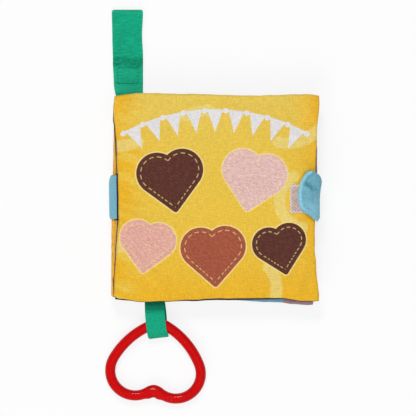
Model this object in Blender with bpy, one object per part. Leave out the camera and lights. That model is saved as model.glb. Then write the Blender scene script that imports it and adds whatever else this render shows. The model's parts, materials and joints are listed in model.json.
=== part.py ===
"""A crinkle cloth book for babies, closed and lying on its back cover.

Four padded leaves, each two cloths over batting and a crinkle film, turn on one rolled spine.
A strap runs from the spine under the back cover and closes over the fore-edge of the front
cover. A webbing strap is sewn to the top edge, and a ribbon with a heart teether to the bottom.
The origin is the centre of the flat underside, +Y runs up the page and +Z out of the cover.
"""

import math

import bmesh
import bpy
from mathutils import Matrix, Vector

MM = 0.001

# Clearance kept between touching pieces
GAP = 0.3 * MM

# Padded leaves
PAGE_HALF_WIDTH = 74.8 * MM
PAGE_HALF_HEIGHT = 75.6 * MM
LEAF_PITCH = 5.6 * MM
CROWN = 2.6 * MM
SEAM = 0.85 * MM
SHOULDER = 24.0 * MM
SHOULDER_POWER = 2.5
SIDE_WAIST = 3.0 * MM
END_WAIST = 0.6 * MM
WAIST_POWER = 2.5
CORNER_EASE = 0.9 * MM
CORNER_POWER = 14
CLOTH = 0.7 * MM
FILM = 0.3 * MM
# Distances in from the seam at which a leaf's cloth is shaped, and its middle lines as shares
SEAM_LINES = (0, 4.0 * MM, 9.0 * MM, 16.0 * MM, SHOULDER)
MIDDLE_SHARES = (-0.34, 0, 0.34)
LONG_MIDDLE_SHARES = (-0.45, 0.45)
FILM_LINE = 1
BATTING_LINE = 2

# How the leaves differ: the covers start nearer the spine than the pages between them
COVER_SET_BACK = 1.0 * MM
PAGE_SET_BACK = 2.0 * MM
PAGE_TRIM = 1.3 * MM
PAGE_DROOP = 4.2 * MM

# Rolled spine, the one axis on which every leaf turns
SPINE_OUTSET = 0.4 * MM
SPINE_RADIUS = 1.8 * MM
SPINE_INSET = 1.0 * MM
SPINE_POINTS = 19
SPINE_PUCKER_SHARE = 0.05
SPINE_PUCKERS = 7
SPINE_BEVEL_STEPS = 3

# Cloth strip that joins each leaf to the spine
STRIP = 0.6 * MM
STRIP_TUCK = 3.0 * MM
STRIP_TUCK_POWER = 8
STRIP_FIRST_LINE = 2
STRIP_BEND = 0.25 * MM
STRIP_DROP = 0.75 * MM
COVER_STRIP_ANGLE = math.radians(78)
PAGE_STRIP_ANGLE = math.radians(25)

# Closure strap: band under the book, riser up the fore-edge, tab over the front cover
BAND_CENTRE_Y = 0.6 * MM
BAND_HALF_WIDTH = 15.8 * MM
BAND = 0.7 * MM
BAND_START_ANGLE = math.radians(50)
BAND_ARC_STEPS = 7
BAND_CORNER_RADIUS = 1.6 * MM
BAND_CORNER_STEPS = 3
CHANNEL_SLOPE = 1.0 * MM
RISER_OUTSET = 0.6 * MM
RISER = 1.3 * MM
RISER_BULGE = 0.5 * MM
RISER_STEPS = 6
TAB = 1.2 * MM
TAB_REACH = 16.3 * MM
TAB_UPPER_CORNER_REACH = 7.5 * MM
TAB_LOWER_CORNER_REACH = 3.4 * MM
TAB_ROUND_POWER = 2.3
TAB_HALF_WIDTH = 18.2 * MM
TAB_CENTRE_Y = 2.1 * MM
TAB_ROWS = 14
TAB_STEPS = 5
TAB_KNEE = 1.1 * MM
TAB_SHOULDER = 1.2 * MM
LOOP_PATCH_REACH = 21.6 * MM
LOOP_PATCH_LENGTH = 17.0 * MM
LOOP_PATCH_HALF_WIDTH = 9.6 * MM
LOOP_PATCH = 0.5 * MM
HOOK_PATCH_REACH = 14.0 * MM
HOOK_PATCH_LENGTH = 9.0 * MM
HOOK_PATCH_HALF_WIDTH = 9.0 * MM
HOOK_PATCH = 0.5 * MM
PATCH_STEPS = 4

# Webbing strap at the top edge, doubled back under itself, its sides measured from the spine
WEB = 1.0 * MM
WEB_TOP_LEFT = -1.1 * MM
WEB_ROOT_LEFT = 1.3 * MM
WEB_RIGHT = 21.3 * MM
WEB_LENGTH = 61.0 * MM
WEB_CORNER = 2.2 * MM
WEB_TAIL_DEPTH = 6.0 * MM
WEB_TAIL_REACH = 0.6 * MM
WEB_SETTLE_LENGTH = 8.0 * MM
FLAP_LENGTH = 56.0 * MM
FLAP_LIFT = 0.05 * MM
WEB_PATCH = 0.6 * MM
WEB_PATCH_HALF_WIDTH = 7.5 * MM
WEB_PATCH_LENGTH = 13.0 * MM
WEB_PATCH_INSET = 2.0 * MM

# Ribbon loop at the bottom edge, its middle measured from the spine
RIBBON = 0.7 * MM
RIBBON_PLACE = 30.6 * MM
RIBBON_HALF_WIDTH = 7.3 * MM
RIBBON_LEAN = 2.3 * MM
RIBBON_SLANT = 0.3 * MM
RIBBON_REACH = 27.8 * MM
RIBBON_LIFT = 0.05 * MM
RIBBON_TAIL_DEPTH = 6.0 * MM
RIBBON_COLUMNS = 3
# The loop seen from its edge: shares of its reach, and of its inside height above the table
RIBBON_LOOP_SHARES = (
    (0.12, 0.52),
    (0.28, 0.86),
    (0.43, 1.0),
    (0.62, 1.03),
    (0.80, 1.0),
    (0.925, 0.82),
    (0.985, 0.5),
    (0.95, 0.2),
    (0.86, 0.03),
    (0.70, 0),
    (0.35, 0),
    (0.14, 0.06),
)

# Heart teether, its outline drawn upside down with the point in the ribbon
TEETHER_RADIUS = 3.5 * MM
TIP_RADIUS = 10.0 * MM
TIP_SHIFT = 1.9 * MM
TIP_DROP = 26.55 * MM
SIDE_RADIUS = 58.0 * MM
LOBE_RADIUS = 18.3 * MM
LOBE_OFFSET = 15.0 * MM
LOBE_DROP = 25.9 * MM
CLEFT_RADIUS = 5.0 * MM
TEETHER_TURN = math.radians(-3.6)
TIP_STEPS = 8
SIDE_STEPS = 6
LOBE_STEPS = 13
CLEFT_STEPS = 4
TEETHER_BEVEL_STEPS = 4

# Faces that meet at more than this keep a sharp edge
SHARP_ANGLE = math.radians(45)

# Colours, red green blue
YELLOW = (0.86, 0.62, 0.05)
NAVY = (0.03, 0.05, 0.14)
SKY = (0.33, 0.62, 0.80)
PINK = (0.74, 0.46, 0.56)
MINT = (0.45, 0.74, 0.62)
WHITE = (0.85, 0.85, 0.83)
CLEAR = (0.78, 0.80, 0.82)
JADE = (0.01, 0.38, 0.22)
RED = (0.60, 0.004, 0.01)

SPINE_X = -PAGE_HALF_WIDTH - SPINE_OUTSET
SPINE_Z = 2 * LEAF_PITCH
COVER_RIGHT_X = SPINE_X + COVER_SET_BACK + 2 * PAGE_HALF_WIDTH
RISER_X = COVER_RIGHT_X + RISER_OUTSET
RIBBON_X = SPINE_X + RIBBON_PLACE
BAND_LOW_Y = BAND_CENTRE_Y - BAND_HALF_WIDTH
BAND_HIGH_Y = BAND_CENTRE_Y + BAND_HALF_WIDTH
STRIP_END_RADIUS = SPINE_RADIUS + GAP + STRIP / 2


def material(name, colour, roughness, metallic=0.0):
    """A plain material with the colour and shine of one of the book's stuffs."""
    made = bpy.data.materials.new(name)
    made.use_nodes = True
    shader = made.node_tree.nodes["Principled BSDF"]
    shader.inputs["Base Color"].default_value = (*colour, 1.0)
    shader.inputs["Roughness"].default_value = roughness
    shader.inputs["Metallic"].default_value = metallic
    return made


def carrier(name, place, parent=None):
    """An empty on a joint's axis, which carries the pieces that turn with it."""
    empty = bpy.data.objects.new(name, None)
    bpy.context.scene.collection.objects.link(empty)
    empty.parent = parent
    empty.location = Vector(place) - (parent_place(parent) if parent else Vector())
    return empty


def parent_place(empty):
    """The place of a carrier in the book's own frame."""
    place = Vector()
    while empty:
        place += empty.location
        empty = empty.parent
    return place


def piece(name, mesh, stuff, body):
    """Make an object of a mesh drawn in the book's frame, and hang it on its carrier."""
    mesh.transform(Matrix.Translation(-parent_place(body)))
    mesh.materials.append(stuff)
    made = bpy.data.objects.new(name, mesh)
    bpy.context.scene.collection.objects.link(made)
    made.parent = body
    return made


def sheet_mesh(name, rows, facing_down=False, left_out=()):
    """A sheet through rows of points, its cells split along the lines that run to its corners."""
    bm = bmesh.new()
    grid = [[bm.verts.new(point) for point in row] for row in rows]
    row_count = len(rows) - 1
    column_count = len(rows[0]) - 1
    for j in range(row_count):
        for i in range(column_count):
            if (i, j) in left_out:
                continue
            a, b = grid[j][i], grid[j][i + 1]
            c, d = grid[j + 1][i + 1], grid[j + 1][i]
            same_side = (2 * i + 1 > column_count) == (2 * j + 1 > row_count)
            halves = ((a, b, c), (a, c, d)) if same_side else ((a, b, d), (b, c, d))
            for half in halves:
                bm.faces.new(half[::-1] if facing_down else half)
    bmesh.ops.delete(bm, geom=[v for v in bm.verts if not v.link_faces], context="VERTS")
    mesh = bpy.data.meshes.new(name)
    bm.to_mesh(mesh)
    bm.free()
    return mesh


def cloth(name, rows, thickness, stuff, body, facing_down=False, centred=False, left_out=()):
    """A sheet of cloth: the points give its outer face, or its middle where it is centred."""
    mesh = sheet_mesh(name, rows, facing_down, left_out)
    made = piece(name, mesh, stuff, body)
    wall = made.modifiers.new("cloth thickness", "SOLIDIFY")
    wall.thickness = thickness
    wall.offset = 0 if centred else -1
    wall.use_even_offset = True
    return made


def pad(name, low_rows, high_rows, stuff, body):
    """A closed pad between two like sheets of points, the lower one turned to face down."""
    bm = bmesh.new()
    for rows, facing_down in ((low_rows, True), (high_rows, False)):
        mesh = sheet_mesh(name, rows, facing_down)
        bm.from_mesh(mesh)
        bpy.data.meshes.remove(mesh)
    rim = [edge for edge in bm.edges if edge.is_boundary]
    bmesh.ops.bridge_loops(bm, edges=rim)
    bmesh.ops.triangulate(bm, faces=[f for f in bm.faces if len(f.verts) > 3])
    bmesh.ops.recalc_face_normals(bm, faces=bm.faces)
    mesh = bpy.data.meshes.new(name)
    bm.to_mesh(mesh)
    bm.free()
    return piece(name, mesh, stuff, body)


class Leaf:
    """One padded leaf: its outline, its crown, and the lines on which its cloth is shaped."""

    def __init__(self, name, order, set_back, trim=0, droop=0, channelled=False):
        self.name = name
        self.order = order
        self.middle_z = LEAF_PITCH * (order + 0.5)
        self.left = SPINE_X + set_back
        self.right = COVER_RIGHT_X - trim
        self.half_width = (self.right - self.left) / 2
        self.half_height = PAGE_HALF_HEIGHT - trim
        self.droop = droop
        self.channelled = channelled
        self.is_cover = not trim

    def columns(self):
        """Shares of the half width, from the spine to the fore-edge, at which cloth is shaped."""
        seams = [1 - distance / self.half_width for distance in SEAM_LINES]
        return [-share for share in seams] + list(MIDDLE_SHARES) + seams[::-1]

    def rows(self):
        """Shares of the half height, with lines along the edges of the closure band."""
        seams = [1 - distance / self.half_height for distance in SEAM_LINES]
        edges = [GAP + CHANNEL_SLOPE]
        if self.channelled:
            edges.append(GAP)
        band = [BAND_LOW_Y - edge for edge in edges]
        band += [BAND_HIGH_Y + edge for edge in edges]
        middle = [y / self.half_height for y in sorted(band)]
        middle.insert(len(edges), BAND_CENTRE_Y / self.half_height)
        low, high = LONG_MIDDLE_SHARES
        return [-share for share in seams] + [low] + middle + [high] + seams[::-1]

    def place(self, s, t):
        """The place of a pattern point, after the seams have drawn the sides in."""
        side = SIDE_WAIST * (1 - abs(t) ** WAIST_POWER)
        end = END_WAIST * (1 - abs(s) ** WAIST_POWER)
        ease = CORNER_EASE * abs(s * t) ** CORNER_POWER
        x = s * self.half_width - s**3 * side - math.copysign(ease, s)
        y = t * self.half_height - t**3 * end - math.copysign(ease, t)
        return (self.left + self.right) / 2 + x, y - self.droop * (1 + s) / 2

    def crown(self, s, t):
        """Half the thickness of the leaf, with room in its spine seam for the hinge strip."""
        rise = 1
        for distance in ((1 - abs(s)) * self.half_width, (1 - abs(t)) * self.half_height):
            rise *= 1 - (1 - min(1, distance / SHOULDER)) ** SHOULDER_POWER
        tuck = (CLOTH + GAP + STRIP / 2 - SEAM) * max(0, -s) ** STRIP_TUCK_POWER
        return SEAM + tuck + (CROWN - SEAM - tuck) * rise

    def under(self, s, t, spare=0):
        """The same for the lower face, with a channel for the band, wider by the spare."""
        height = self.crown(s, t)
        if not self.channelled:
            return height
        y = self.place(s, t)[1]
        outside = max(BAND_LOW_Y - GAP - y, y - BAND_HIGH_Y - GAP)
        return min(height, CROWN - BAND - GAP) if outside < CHANNEL_SLOPE / 2 + spare else height

    def sheet(self, height, first=0):
        """Rows of points at a height over the leaf's middle, leaving out lines at the seam."""
        columns = self.columns()
        rows = self.rows()
        if first:
            columns = columns[first:-first]
            rows = rows[first:-first]
        return [
            [(*self.place(s, t), self.middle_z + height(s, t)) for s in columns] for t in rows
        ]

    def build(self, upper, lower, batting, film, strip, body):
        """Make the leaf's two cloths, its filling and its strip."""
        cloth(f"{self.name}_upper_cloth", self.sheet(self.crown), CLOTH, upper, body)
        below = self.sheet(lambda s, t: -self.under(s, t))
        cloth(f"{self.name}_lower_cloth", below, CLOTH, lower, body, facing_down=True)
        film_top = self.sheet(lambda s, t: self.crown(s, t) - CLOTH - GAP, FILM_LINE)
        cloth(f"{self.name}_crinkle_film", film_top, FILM, film, body)
        inner = CLOTH + GAP
        low = self.sheet(lambda s, t: inner - self.under(s, t, CHANNEL_SLOPE), BATTING_LINE)
        high = self.sheet(lambda s, t: self.crown(s, t) - inner - FILM - GAP, BATTING_LINE)
        pad(f"{self.name}_batting", low, high, batting, body)
        self.build_strip(strip, body)

    def build_strip(self, stuff, body):
        """Make the strip that is sewn into the spine seam and bends in to the rolled spine."""
        rise = self.middle_z - SPINE_Z
        way = math.copysign(1, rise)
        angle = COVER_STRIP_ANGLE if self.is_cover else PAGE_STRIP_ANGLE
        reach = STRIP_END_RADIUS + (0 if self.is_cover else STRIP / 2)
        end = (SPINE_X + reach * math.cos(angle), SPINE_Z + way * reach * math.sin(angle))
        shares = self.rows()[STRIP_FIRST_LINE:-STRIP_FIRST_LINE]
        rows = []
        for t in shares:
            x, y = self.place(-1, t)
            bend = (x - 2 * STRIP_BEND, self.middle_z - way * STRIP_DROP)
            middle = ((bend[0] + end[0]) / 2, (bend[1] + end[1]) / 2)
            tuck, edge = x + STRIP_TUCK, x - STRIP_BEND
            path = ((tuck, self.middle_z), (edge, self.middle_z), bend, middle, end)
            rows.append([(px, y, pz) for px, pz in path])
        left_out = set()
        if self.order:
            for j, (low, high) in enumerate(zip(rows, rows[1:])):
                if BAND_LOW_Y < (low[0][1] + high[0][1]) / 2 < BAND_HIGH_Y:
                    left_out.update({(1, j), (2, j), (3, j)})
        name = f"{self.name}_hinge_strip"
        cloth(name, rows, STRIP, stuff, body, centred=True, left_out=left_out)


def curve_tube(name, points, radius, bevel_steps, stuff, body, closed=False, radii=()):
    """A tube along a line of points."""
    curve = bpy.data.curves.new(name, "CURVE")
    curve.dimensions = "3D"
    curve.bevel_depth = radius
    curve.bevel_resolution = bevel_steps
    curve.use_fill_caps = not closed
    spline = curve.splines.new("POLY")
    spline.points.add(len(points) - 1)
    start = parent_place(body)
    for index, place in enumerate(points):
        spline.points[index].co = (*(Vector(place) - start), 1)
        if radii:
            spline.points[index].radius = radii[index]
    spline.use_cyclic_u = closed
    curve.materials.append(stuff)
    made = bpy.data.objects.new(name, curve)
    bpy.context.scene.collection.objects.link(made)
    made.parent = body
    return made


def build_spine(stuff, body):
    """The rolled cloth of the spine, a little puckered along its stitching."""
    points, radii = [], []
    for index in range(SPINE_POINTS):
        share = index / (SPINE_POINTS - 1)
        points.append((SPINE_X, (PAGE_HALF_HEIGHT - SPINE_INSET) * (2 * share - 1), SPINE_Z))
        wave = math.cos(2 * math.pi * SPINE_PUCKERS * share)
        radii.append(1 - SPINE_PUCKER_SHARE * (1 + wave) / 2)
    curve_tube("spine_binding", points, SPINE_RADIUS, SPINE_BEVEL_STEPS, stuff, body, radii=radii)


def band_path():
    """The outer face of the closure band: over the spine, down it, and out to the fore-edge."""
    radius = SPINE_RADIUS + GAP + BAND
    path = []
    for step in range(BAND_ARC_STEPS + 1):
        angle = BAND_START_ANGLE + (math.pi - BAND_START_ANGLE) * step / BAND_ARC_STEPS
        path.append((SPINE_X + radius * math.cos(angle), SPINE_Z + radius * math.sin(angle)))
    corner_x = SPINE_X - radius + BAND_CORNER_RADIUS
    for step in range(BAND_CORNER_STEPS + 1):
        angle = math.pi * (1 + step / BAND_CORNER_STEPS / 2)
        x = corner_x + BAND_CORNER_RADIUS * math.cos(angle)
        path.append((x, BAND_CORNER_RADIUS * (1 + math.sin(angle))))
    path.append((RISER_X, 0))
    return path


def strip_rows(path, low_y, high_y, columns):
    """Rows of points for a strip that follows a path seen along Y."""
    rows = []
    for x, z in path:
        width = high_y - low_y
        rows.append([(x, low_y + width * k / columns, z) for k in range(columns + 1)])
    return rows


def build_closure(front, stuff, pale, root, riser_body, tab_body, front_body):
    """The closure band, its riser, its tab and the two patches that grip each other."""
    band = strip_rows(band_path(), BAND_LOW_Y, BAND_HIGH_Y, 2)
    cloth("closure_band", band, BAND, stuff, root)

    top = fold_z(front)
    path = []
    for step in range(RISER_STEPS + 1):
        share = step / RISER_STEPS
        bulge = RISER_BULGE * math.sin(math.pi * share)
        low = BAND + GAP
        path.append((RISER_X + bulge, low + (top - GAP / 2 - low) * share))
    low_y = TAB_CENTRE_Y - TAB_HALF_WIDTH
    high_y = TAB_CENTRE_Y + TAB_HALF_WIDTH
    riser = strip_rows(path, low_y, high_y, 2)
    cloth("closure_riser", riser, RISER, stuff, riser_body, centred=True)

    build_tab(front, stuff, tab_body)
    under_tab = GAP + LOOP_PATCH + GAP
    patch(front, "closure_loop_patch", LOOP_PATCH_REACH, LOOP_PATCH_LENGTH,
          LOOP_PATCH_HALF_WIDTH, GAP, LOOP_PATCH, pale, front_body)
    patch(front, "closure_hook_patch", HOOK_PATCH_REACH, HOOK_PATCH_LENGTH,
          HOOK_PATCH_HALF_WIDTH, under_tab, HOOK_PATCH, pale, tab_body)


def face_top(leaf, x, y):
    """The height of a leaf's upper face at a place on it."""
    s = (x - (leaf.left + leaf.right) / 2) / (leaf.half_width - SIDE_WAIST)
    t = y / leaf.half_height
    return leaf.middle_z + leaf.crown(max(-1, min(1, s)), max(-1, min(1, t)))


def fold_z(front):
    """The height at which the closure folds over the fore-edge of the front cover."""
    return front.middle_z + SEAM + GAP


def patch(front, name, reach, length, half_width, lift, thickness, stuff, body):
    """A patch of hook or loop tape that follows the cover, at a lift above its face."""
    rows = []
    for j in range(PATCH_STEPS + 1):
        y = half_width * (2 * j / PATCH_STEPS - 1)
        row = []
        for i in range(PATCH_STEPS + 1):
            x = RISER_X - reach + length * i / PATCH_STEPS
            row.append((x, y, face_top(front, x, y) + lift + thickness))
        rows.append(row)
    cloth(name, rows, thickness, stuff, body)


def tab_tip(across):
    """How far the tab reaches over the cover, at a share of its width from its middle."""
    corner = TAB_UPPER_CORNER_REACH if across > 0 else TAB_LOWER_CORNER_REACH
    bulge = (1 - min(1, abs(across)) ** TAB_ROUND_POWER) ** (1 / TAB_ROUND_POWER)
    return RISER_X - corner - (TAB_REACH - corner) * bulge


def build_tab(front, stuff, body):
    """The tab, from its fold at the fore-edge to its round end on the cover."""
    lift = GAP + LOOP_PATCH + GAP + HOOK_PATCH + GAP + TAB
    outer = RISER_X + RISER / 2
    fold = fold_z(front) + GAP / 2
    shoulder_x = front.right - SIDE_WAIST + TAB_SHOULDER
    shoulder_z = face_top(front, shoulder_x, 0) + lift
    rows = []
    for j in range(TAB_ROWS + 1):
        across = 2 * j / TAB_ROWS - 1
        y = TAB_CENTRE_Y + TAB_HALF_WIDTH * across
        row = [(outer, y, fold), (outer, y, fold + TAB_KNEE)]
        row.append(((outer + shoulder_x) / 2, y, (fold + TAB_KNEE + shoulder_z + TAB) / 2))
        for i in range(TAB_STEPS + 1):
            x = shoulder_x + (tab_tip(across) - shoulder_x) * i / TAB_STEPS
            row.append((x, y, face_top(front, x, 0) + lift))
        rows.append(row)
    cloth("closure_tab", rows, TAB, stuff, body, facing_down=True)


def build_strap(back, stuff, pale, root, web_body, flap_body):
    """The webbing strap: its sewn tail, its length over the table, and its doubled end."""
    hinge_y, hinge_z = strap_hinge(back)
    low = FLAP_LIFT + WEB + 2 * (GAP + WEB_PATCH) + GAP + WEB
    tail, web, flap = [], [], []
    start = hinge_y - GAP / 2
    for share in (0, 0.5, 1):
        y = start - (WEB_TAIL_DEPTH + WEB_TAIL_REACH) * (1 - share)
        places = (SPINE_X + WEB_ROOT_LEFT, SPINE_X + (WEB_ROOT_LEFT + WEB_RIGHT) / 2,
                  SPINE_X + WEB_RIGHT)
        tail.append([(x, y, face_top(back, x, y) + GAP + WEB) for x in places])
    cloth("strap_tail", tail, WEB, stuff, root)
    near = hinge_y + GAP / 2
    web_end = near + WEB_LENGTH
    far = web_end - WEB_CORNER
    stops = [(near, hinge_z), (near + WEB_SETTLE_LENGTH, low), ((near + far) / 2, low)]
    stops += [(far, low), (web_end, low)]
    for y, z in stops:
        web.append(web_row(y, z, near))
    cloth("strap_web", web, WEB, stuff, web_body)
    flap_end = web_end - FLAP_LENGTH
    for y in (flap_end, (flap_end + far) / 2, far, web_end):
        flap.append(web_row(y, FLAP_LIFT + WEB, near))
    cloth("strap_flap", flap, WEB, stuff, flap_body)
    end = flap_end + WEB_PATCH_INSET
    centre = SPINE_X + (WEB_TOP_LEFT + WEB_RIGHT) / 2
    tops = (("strap_hook_patch", FLAP_LIFT + WEB + GAP + WEB_PATCH, flap_body),
            ("strap_loop_patch", FLAP_LIFT + WEB + 2 * (GAP + WEB_PATCH), web_body))
    for name, top, body in tops:
        rows = []
        for y in (end, end + WEB_PATCH_LENGTH):
            rows.append([(centre + side * WEB_PATCH_HALF_WIDTH, y, top) for side in (-1, 0, 1)])
        cloth(name, rows, WEB_PATCH, pale, body)


def web_row(y, z, root_y):
    """One row of points across the strap, which is narrower near the book and round at its end."""
    along = y - root_y
    left = SPINE_X + WEB_ROOT_LEFT + (WEB_TOP_LEFT - WEB_ROOT_LEFT) * min(1, 2 * along / WEB_LENGTH)
    right = SPINE_X + WEB_RIGHT
    inset = max(0, along - (WEB_LENGTH - WEB_CORNER)) * math.tan(math.pi / 8)
    return [(left + inset, y, z), ((left + right) / 2, y, z), (right - inset, y, z)]


def strap_hinge(back):
    """Where the strap bends up at the top edge: on its upper face, just clear of the seam."""
    y = back.half_height + WEB_TAIL_REACH
    return y, back.middle_z + SEAM + GAP + WEB


def ribbon_hinge(back):
    """Where the ribbon bends up at the bottom edge: on its upper face, just clear of the seam."""
    return GAP / 2 - back.half_height, back.middle_z + GAP / 2 + RIBBON


def ribbon_place(back, across, along, z):
    """A point of the ribbon, which leans to the right on its way down."""
    share = along / RIBBON_REACH
    x = RIBBON_X + across * RIBBON_HALF_WIDTH + RIBBON_LEAN * share
    y = ribbon_hinge(back)[0] - along + RIBBON_SLANT * across * share
    return x, y, z


def build_ribbon(back, stuff, root, body):
    """The ribbon loop round the teether, and the ends of it sewn to the back cover."""
    low = RIBBON_LIFT + RIBBON / 2
    inside = 2 * TEETHER_RADIUS + 2 * GAP + RIBBON + GAP
    spread = (RIBBON + GAP) / 2
    path = [(GAP / 2, back.middle_z + spread)]
    path += [(along * RIBBON_REACH, low + up * inside) for along, up in RIBBON_LOOP_SHARES]
    path.append((GAP / 2, back.middle_z - spread))
    rows = []
    for along, z in path:
        steps = range(RIBBON_COLUMNS + 1)
        rows.append(
            [ribbon_place(back, 2 * k / RIBBON_COLUMNS - 1, along, z) for k in steps]
        )
    cloth("teether_ribbon", rows, RIBBON, stuff, body, centred=True)
    tail = []
    start = -back.half_height + END_WAIST
    for share in (0, 0.5, 1):
        y = start + RIBBON_TAIL_DEPTH * share
        places = (RIBBON_X - RIBBON_HALF_WIDTH, RIBBON_X, RIBBON_X + RIBBON_HALF_WIDTH)
        tail.append([(x, y, face_top(back, x, y) + GAP + RIBBON) for x in places])
    cloth("ribbon_tail", tail, RIBBON, stuff, root)


def heart_outline():
    """The middle line of the teether in its own plane, clockwise from the tip's left side.

    A round tip, two lobes, bowed sides that run smoothly into both, and a round cleft.
    """
    lobe = Vector((LOBE_OFFSET, -LOBE_DROP))
    to_tip, to_lobe = SIDE_RADIUS - TIP_RADIUS, SIDE_RADIUS - LOBE_RADIUS
    share = (to_tip**2 - to_lobe**2 + lobe.length_squared) / (2 * to_tip * lobe.length)
    side_centre = to_tip * unit(math.atan2(lobe.y, lobe.x) - math.acos(share))
    tip_angle = math.atan2(-side_centre.y, -side_centre.x)
    lobe_angle = math.atan2(lobe.y - side_centre.y, lobe.x - side_centre.x)
    cleft_drop = math.sqrt((LOBE_RADIUS + CLEFT_RADIUS) ** 2 - LOBE_OFFSET**2)
    cleft = Vector((0, lobe.y - cleft_drop))
    cleft_angle = math.atan2(lobe.y - cleft.y, LOBE_OFFSET)
    right = arc(Vector((0, 0)), TIP_RADIUS, math.pi / 2, tip_angle, TIP_STEPS // 2)
    right += arc(side_centre, SIDE_RADIUS, tip_angle, lobe_angle, SIDE_STEPS)[1:-1]
    right += arc(lobe, LOBE_RADIUS, lobe_angle, cleft_angle - math.pi, LOBE_STEPS)
    right += arc(cleft, CLEFT_RADIUS, cleft_angle, math.pi / 2, CLEFT_STEPS // 2)[1:]
    left = [Vector((-point.x, point.y)) for point in right[-2:0:-1]]
    return right + left


def unit(angle):
    """The unit vector at an angle."""
    return Vector((math.cos(angle), math.sin(angle)))


def arc(centre, radius, start, end, steps):
    """Points along an arc, both ends included."""
    angles = [start + (end - start) * k / steps for k in range(steps + 1)]
    return [centre + radius * unit(angle) for angle in angles]


def heart_frame(back):
    """The turn, tilt and place of the teether: its tip lies on the ribbon, its lobes on the table."""
    drop = LOBE_DROP + LOBE_RADIUS
    tip_z = RIBBON_LIFT + RIBBON + GAP + TEETHER_RADIUS + GAP / 2
    lobe_z = TEETHER_RADIUS + RIBBON_LIFT
    tilt = math.atan2(tip_z - lobe_z, drop + TIP_RADIUS)
    middle_z = tip_z - TIP_RADIUS * math.tan(tilt)
    turn = Matrix.Rotation(tilt, 4, "X") @ Matrix.Rotation(TEETHER_TURN, 4, "Z")
    place = (RIBBON_X + TIP_SHIFT, ribbon_hinge(back)[0] - TIP_DROP, middle_z)
    return Matrix.Translation(place) @ turn


def build_heart(back, stuff, body):
    """The heart teether, one round bar bent to a closed heart."""
    frame = heart_frame(back)
    points = [frame @ point.to_3d() for point in heart_outline()]
    curve_tube("heart_teether", points, TEETHER_RADIUS, TEETHER_BEVEL_STEPS, stuff, body, closed=True)


def clear_scene():
    """Start from an empty scene."""
    for old in list(bpy.data.objects):
        bpy.data.objects.remove(old, do_unlink=True)


def smooth_pieces():
    """Shade the soft and round pieces smooth, with their edges kept sharp."""
    for made in bpy.data.objects:
        if made.type == "MESH":
            made.data.shade_smooth()
            made.data.set_sharp_from_angle(angle=SHARP_ANGLE)


def main():
    clear_scene()
    yellow = material("yellow printed cloth", YELLOW, 0.85)
    navy = material("navy page cloth", NAVY, 0.85)
    sky = material("light blue page cloth", SKY, 0.85)
    pink = material("pink page cloth", PINK, 0.85)
    mint = material("mint page cloth", MINT, 0.85)
    batting = material("white batting", WHITE, 0.95)
    film = material("crinkle film", CLEAR, 0.3)
    tape = material("white hook and loop tape", WHITE, 0.9)
    blue = material("light blue closure cloth", SKY, 0.9)
    jade = material("green webbing", JADE, 0.8)
    red = material("red gloss teether", RED, 0.15)

    back = Leaf("back_cover", 0, COVER_SET_BACK, channelled=True)
    leaf_2 = Leaf("leaf_2", 1, PAGE_SET_BACK, PAGE_TRIM, PAGE_DROOP)
    leaf_1 = Leaf("leaf_1", 2, PAGE_SET_BACK, PAGE_TRIM)
    front = Leaf("front_cover", 3, COVER_SET_BACK)

    spine = (SPINE_X, 0, SPINE_Z)
    root = carrier("book_back", (0, 0, 0))
    turn_2 = carrier("leaf_2_axis", spine, root)
    turn_1 = carrier("leaf_1_axis", spine, turn_2)
    turn_front = carrier("front_cover_axis", spine, turn_1)
    riser_axis = carrier("closure_riser_axis", (RISER_X, 0, BAND), root)
    tab_axis = carrier("closure_tab_axis", (RISER_X + RISER / 2, 0, fold_z(front)), riser_axis)
    strap_y, strap_z = strap_hinge(back)
    web_axis = carrier("strap_axis", (0, strap_y, strap_z), root)
    web_middle = FLAP_LIFT + WEB + GAP + WEB_PATCH + GAP / 2
    web_end = strap_y + GAP / 2 + WEB_LENGTH
    flap_axis = carrier("strap_flap_axis", (0, web_end + GAP / 2, web_middle), web_axis)
    ribbon_axis = carrier("ribbon_axis", (0, *ribbon_hinge(back)), root)
    heart_axis = carrier("heart_axis", heart_frame(back).translation, ribbon_axis)

    back.build(navy, yellow, batting, film, yellow, root)
    leaf_2.build(pink, sky, batting, film, sky, turn_2)
    leaf_1.build(sky, mint, batting, film, mint, turn_1)
    front.build(yellow, navy, batting, film, yellow, turn_front)
    build_spine(yellow, root)
    build_closure(front, blue, tape, root, riser_axis, tab_axis, turn_front)
    build_strap(back, jade, tape, root, web_axis, flap_axis)
    build_ribbon(back, jade, root, ribbon_axis)
    build_heart(back, red, heart_axis)
    smooth_pieces()


main()
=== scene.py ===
"""The looks of a crinkle cloth book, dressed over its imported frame.

Four padded leaves on a rolled spine, a fleece closure strap, a webbing strap with a doubled
end, and a ribbon that holds a glossy heart ring. Lengths are in metres.
"""

import json
import math
from bisect import bisect_right

import bmesh
import bpy
from mathutils import Matrix, Vector, noise


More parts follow.
